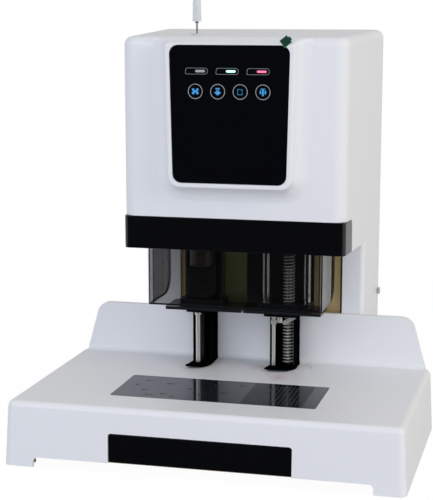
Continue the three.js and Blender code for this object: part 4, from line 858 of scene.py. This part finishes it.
def makeFloor():
    mesh = bpy.data.meshes.new("floor")
    radius = studio["floorRadius"]
    rim = [(radius * math.cos(math.pi * k / 48), radius * math.sin(math.pi * k / 48), 0) for k in range(96)]
    mesh.from_pydata(rim, [], [tuple(range(96))])
    floor = newObject("floor", mesh)
    # matt paper, lit to white for the eye as in a catalogue, so that only the soft contact shadow stays
    paper = surface("pale_paper_floor", 0xC6C7C8, 0.9, tone=0.004, grain=4, bump=0.0,
                    sockets={"Specular IOR Level": 0.0})
    tree = paper.node_tree
    shine = addNode(tree, "ShaderNodeEmission", {"Color": (1, 1, 1, 1), "Strength": studio["floorGlow"]})
    path = addNode(tree, "ShaderNodeLightPath")
    amount = addNode(tree, "ShaderNodeMath", {"operation": "MULTIPLY", 1: studio["floorShare"]},
                     {0: path.outputs["Is Camera Ray"]})
    toOutput(tree, addNode(tree, "ShaderNodeMixShader", {}, {
        0: amount.outputs[0], 1: tree.nodes["Principled BSDF"].outputs[0], 2: shine.outputs[0]}))
    mesh.materials.append(paper)
    floor.visible_glossy = False


def makeLamps():
    for name, lamp in lamps.items():
        data = bpy.data.lights.new(name, "AREA")
        data.shape = "RECTANGLE"
        data.size, data.size_y = lamp["size"]
        data.energy = lamp["power"]
        data.color = linear(lamp["colour"])[:3]
        light = newObject(name, data)
        light.visible_glossy = lamp["mirrored"]
        light.location = lamp["place"]
        light.rotation_euler = (Vector(lamp["aim"]) - Vector(lamp["place"])).to_track_quat("-Z", "Y").to_euler()


# the eye sees white behind the machine, matt surfaces an even room, cooler at the left and warmer at the right,
# and gloss a room that is dark in front and light at its back and side walls
def makeRoom():
    world = bpy.data.worlds.new("studio")
    world.use_nodes = True
    tree = world.node_tree
    white = tree.nodes["Background"]
    white.inputs[0].default_value = (1, 1, 1, 1)
    place = addNode(tree, "ShaderNodeTexCoord")
    parts = addNode(tree, "ShaderNodeSeparateXYZ", {}, {0: place.outputs["Generated"]})
    right = addNode(tree, "ShaderNodeMath", {"operation": "ADD"}, {0: parts.outputs[0], 1: parts.outputs[1]})
    turn = addNode(tree, "ShaderNodeMapRange", {"From Min": -1, "From Max": 1}, {"Value": right.outputs[0]})
    hue = addNode(tree, "ShaderNodeMix", {"data_type": "RGBA", 6: studio["cool"], 7: studio["warm"]},
                  {0: turn.outputs[0]})
    air = studio["air"]
    high = addNode(tree, "ShaderNodeMapRange",
                   {"From Min": 0.1, "From Max": 0.95, "To Min": air, "To Max": air * studio["overhead"]},
                   {"Value": parts.outputs[2]})
    even = addNode(tree, "ShaderNodeBackground", {}, {"Color": hue.outputs[2], "Strength": high.outputs[0]})
    behind = addNode(tree, "ShaderNodeMapRange",
                     {"From Min": -0.3, "From Max": 0.45, "To Min": 0.03, "To Max": 0.85},
                     {"Value": parts.outputs[1]})
    side = addNode(tree, "ShaderNodeMath", {"operation": "ABSOLUTE"}, {0: parts.outputs[0]})
    walls = addNode(tree, "ShaderNodeMapRange",
                    {"From Min": 0.7, "From Max": 0.85, "To Min": 0.0, "To Max": 0.95},
                    {"Value": side.outputs[0]})
    fade = addNode(tree, "ShaderNodeMath", {"operation": "MAXIMUM"}, {0: behind.outputs[0], 1: walls.outputs[0]})
    mirrored = addNode(tree, "ShaderNodeBackground", {}, {"Strength": fade.outputs[0]})
    path = addNode(tree, "ShaderNodeLightPath")
    room = addNode(tree, "ShaderNodeMixShader", {},
                   {0: path.outputs["Is Glossy Ray"], 1: even.outputs[0], 2: mirrored.outputs[0]})
    both = addNode(tree, "ShaderNodeMixShader", {},
                   {0: path.outputs["Is Camera Ray"], 1: room.outputs[0], 2: white.outputs[0]})
    toOutput(tree, both, "World Output")
    scene.world = world


def makeCamera():
    data = bpy.data.cameras.new("camera")
    data.sensor_width = 36
    data.lens = camera["lens"]
    data.shift_x, data.shift_y = camera["shift"]
    data.clip_end = 30
    view = newObject("camera", data)
    view.location = camera["place"]
    view.rotation_euler = (math.radians(camera["pitch"]), 0, math.radians(camera["turn"]))
    scene.camera = view


print("studio")
makeFloor()
makeLamps()
makeRoom()
scene.view_settings.view_transform = "Standard"
makeCamera()
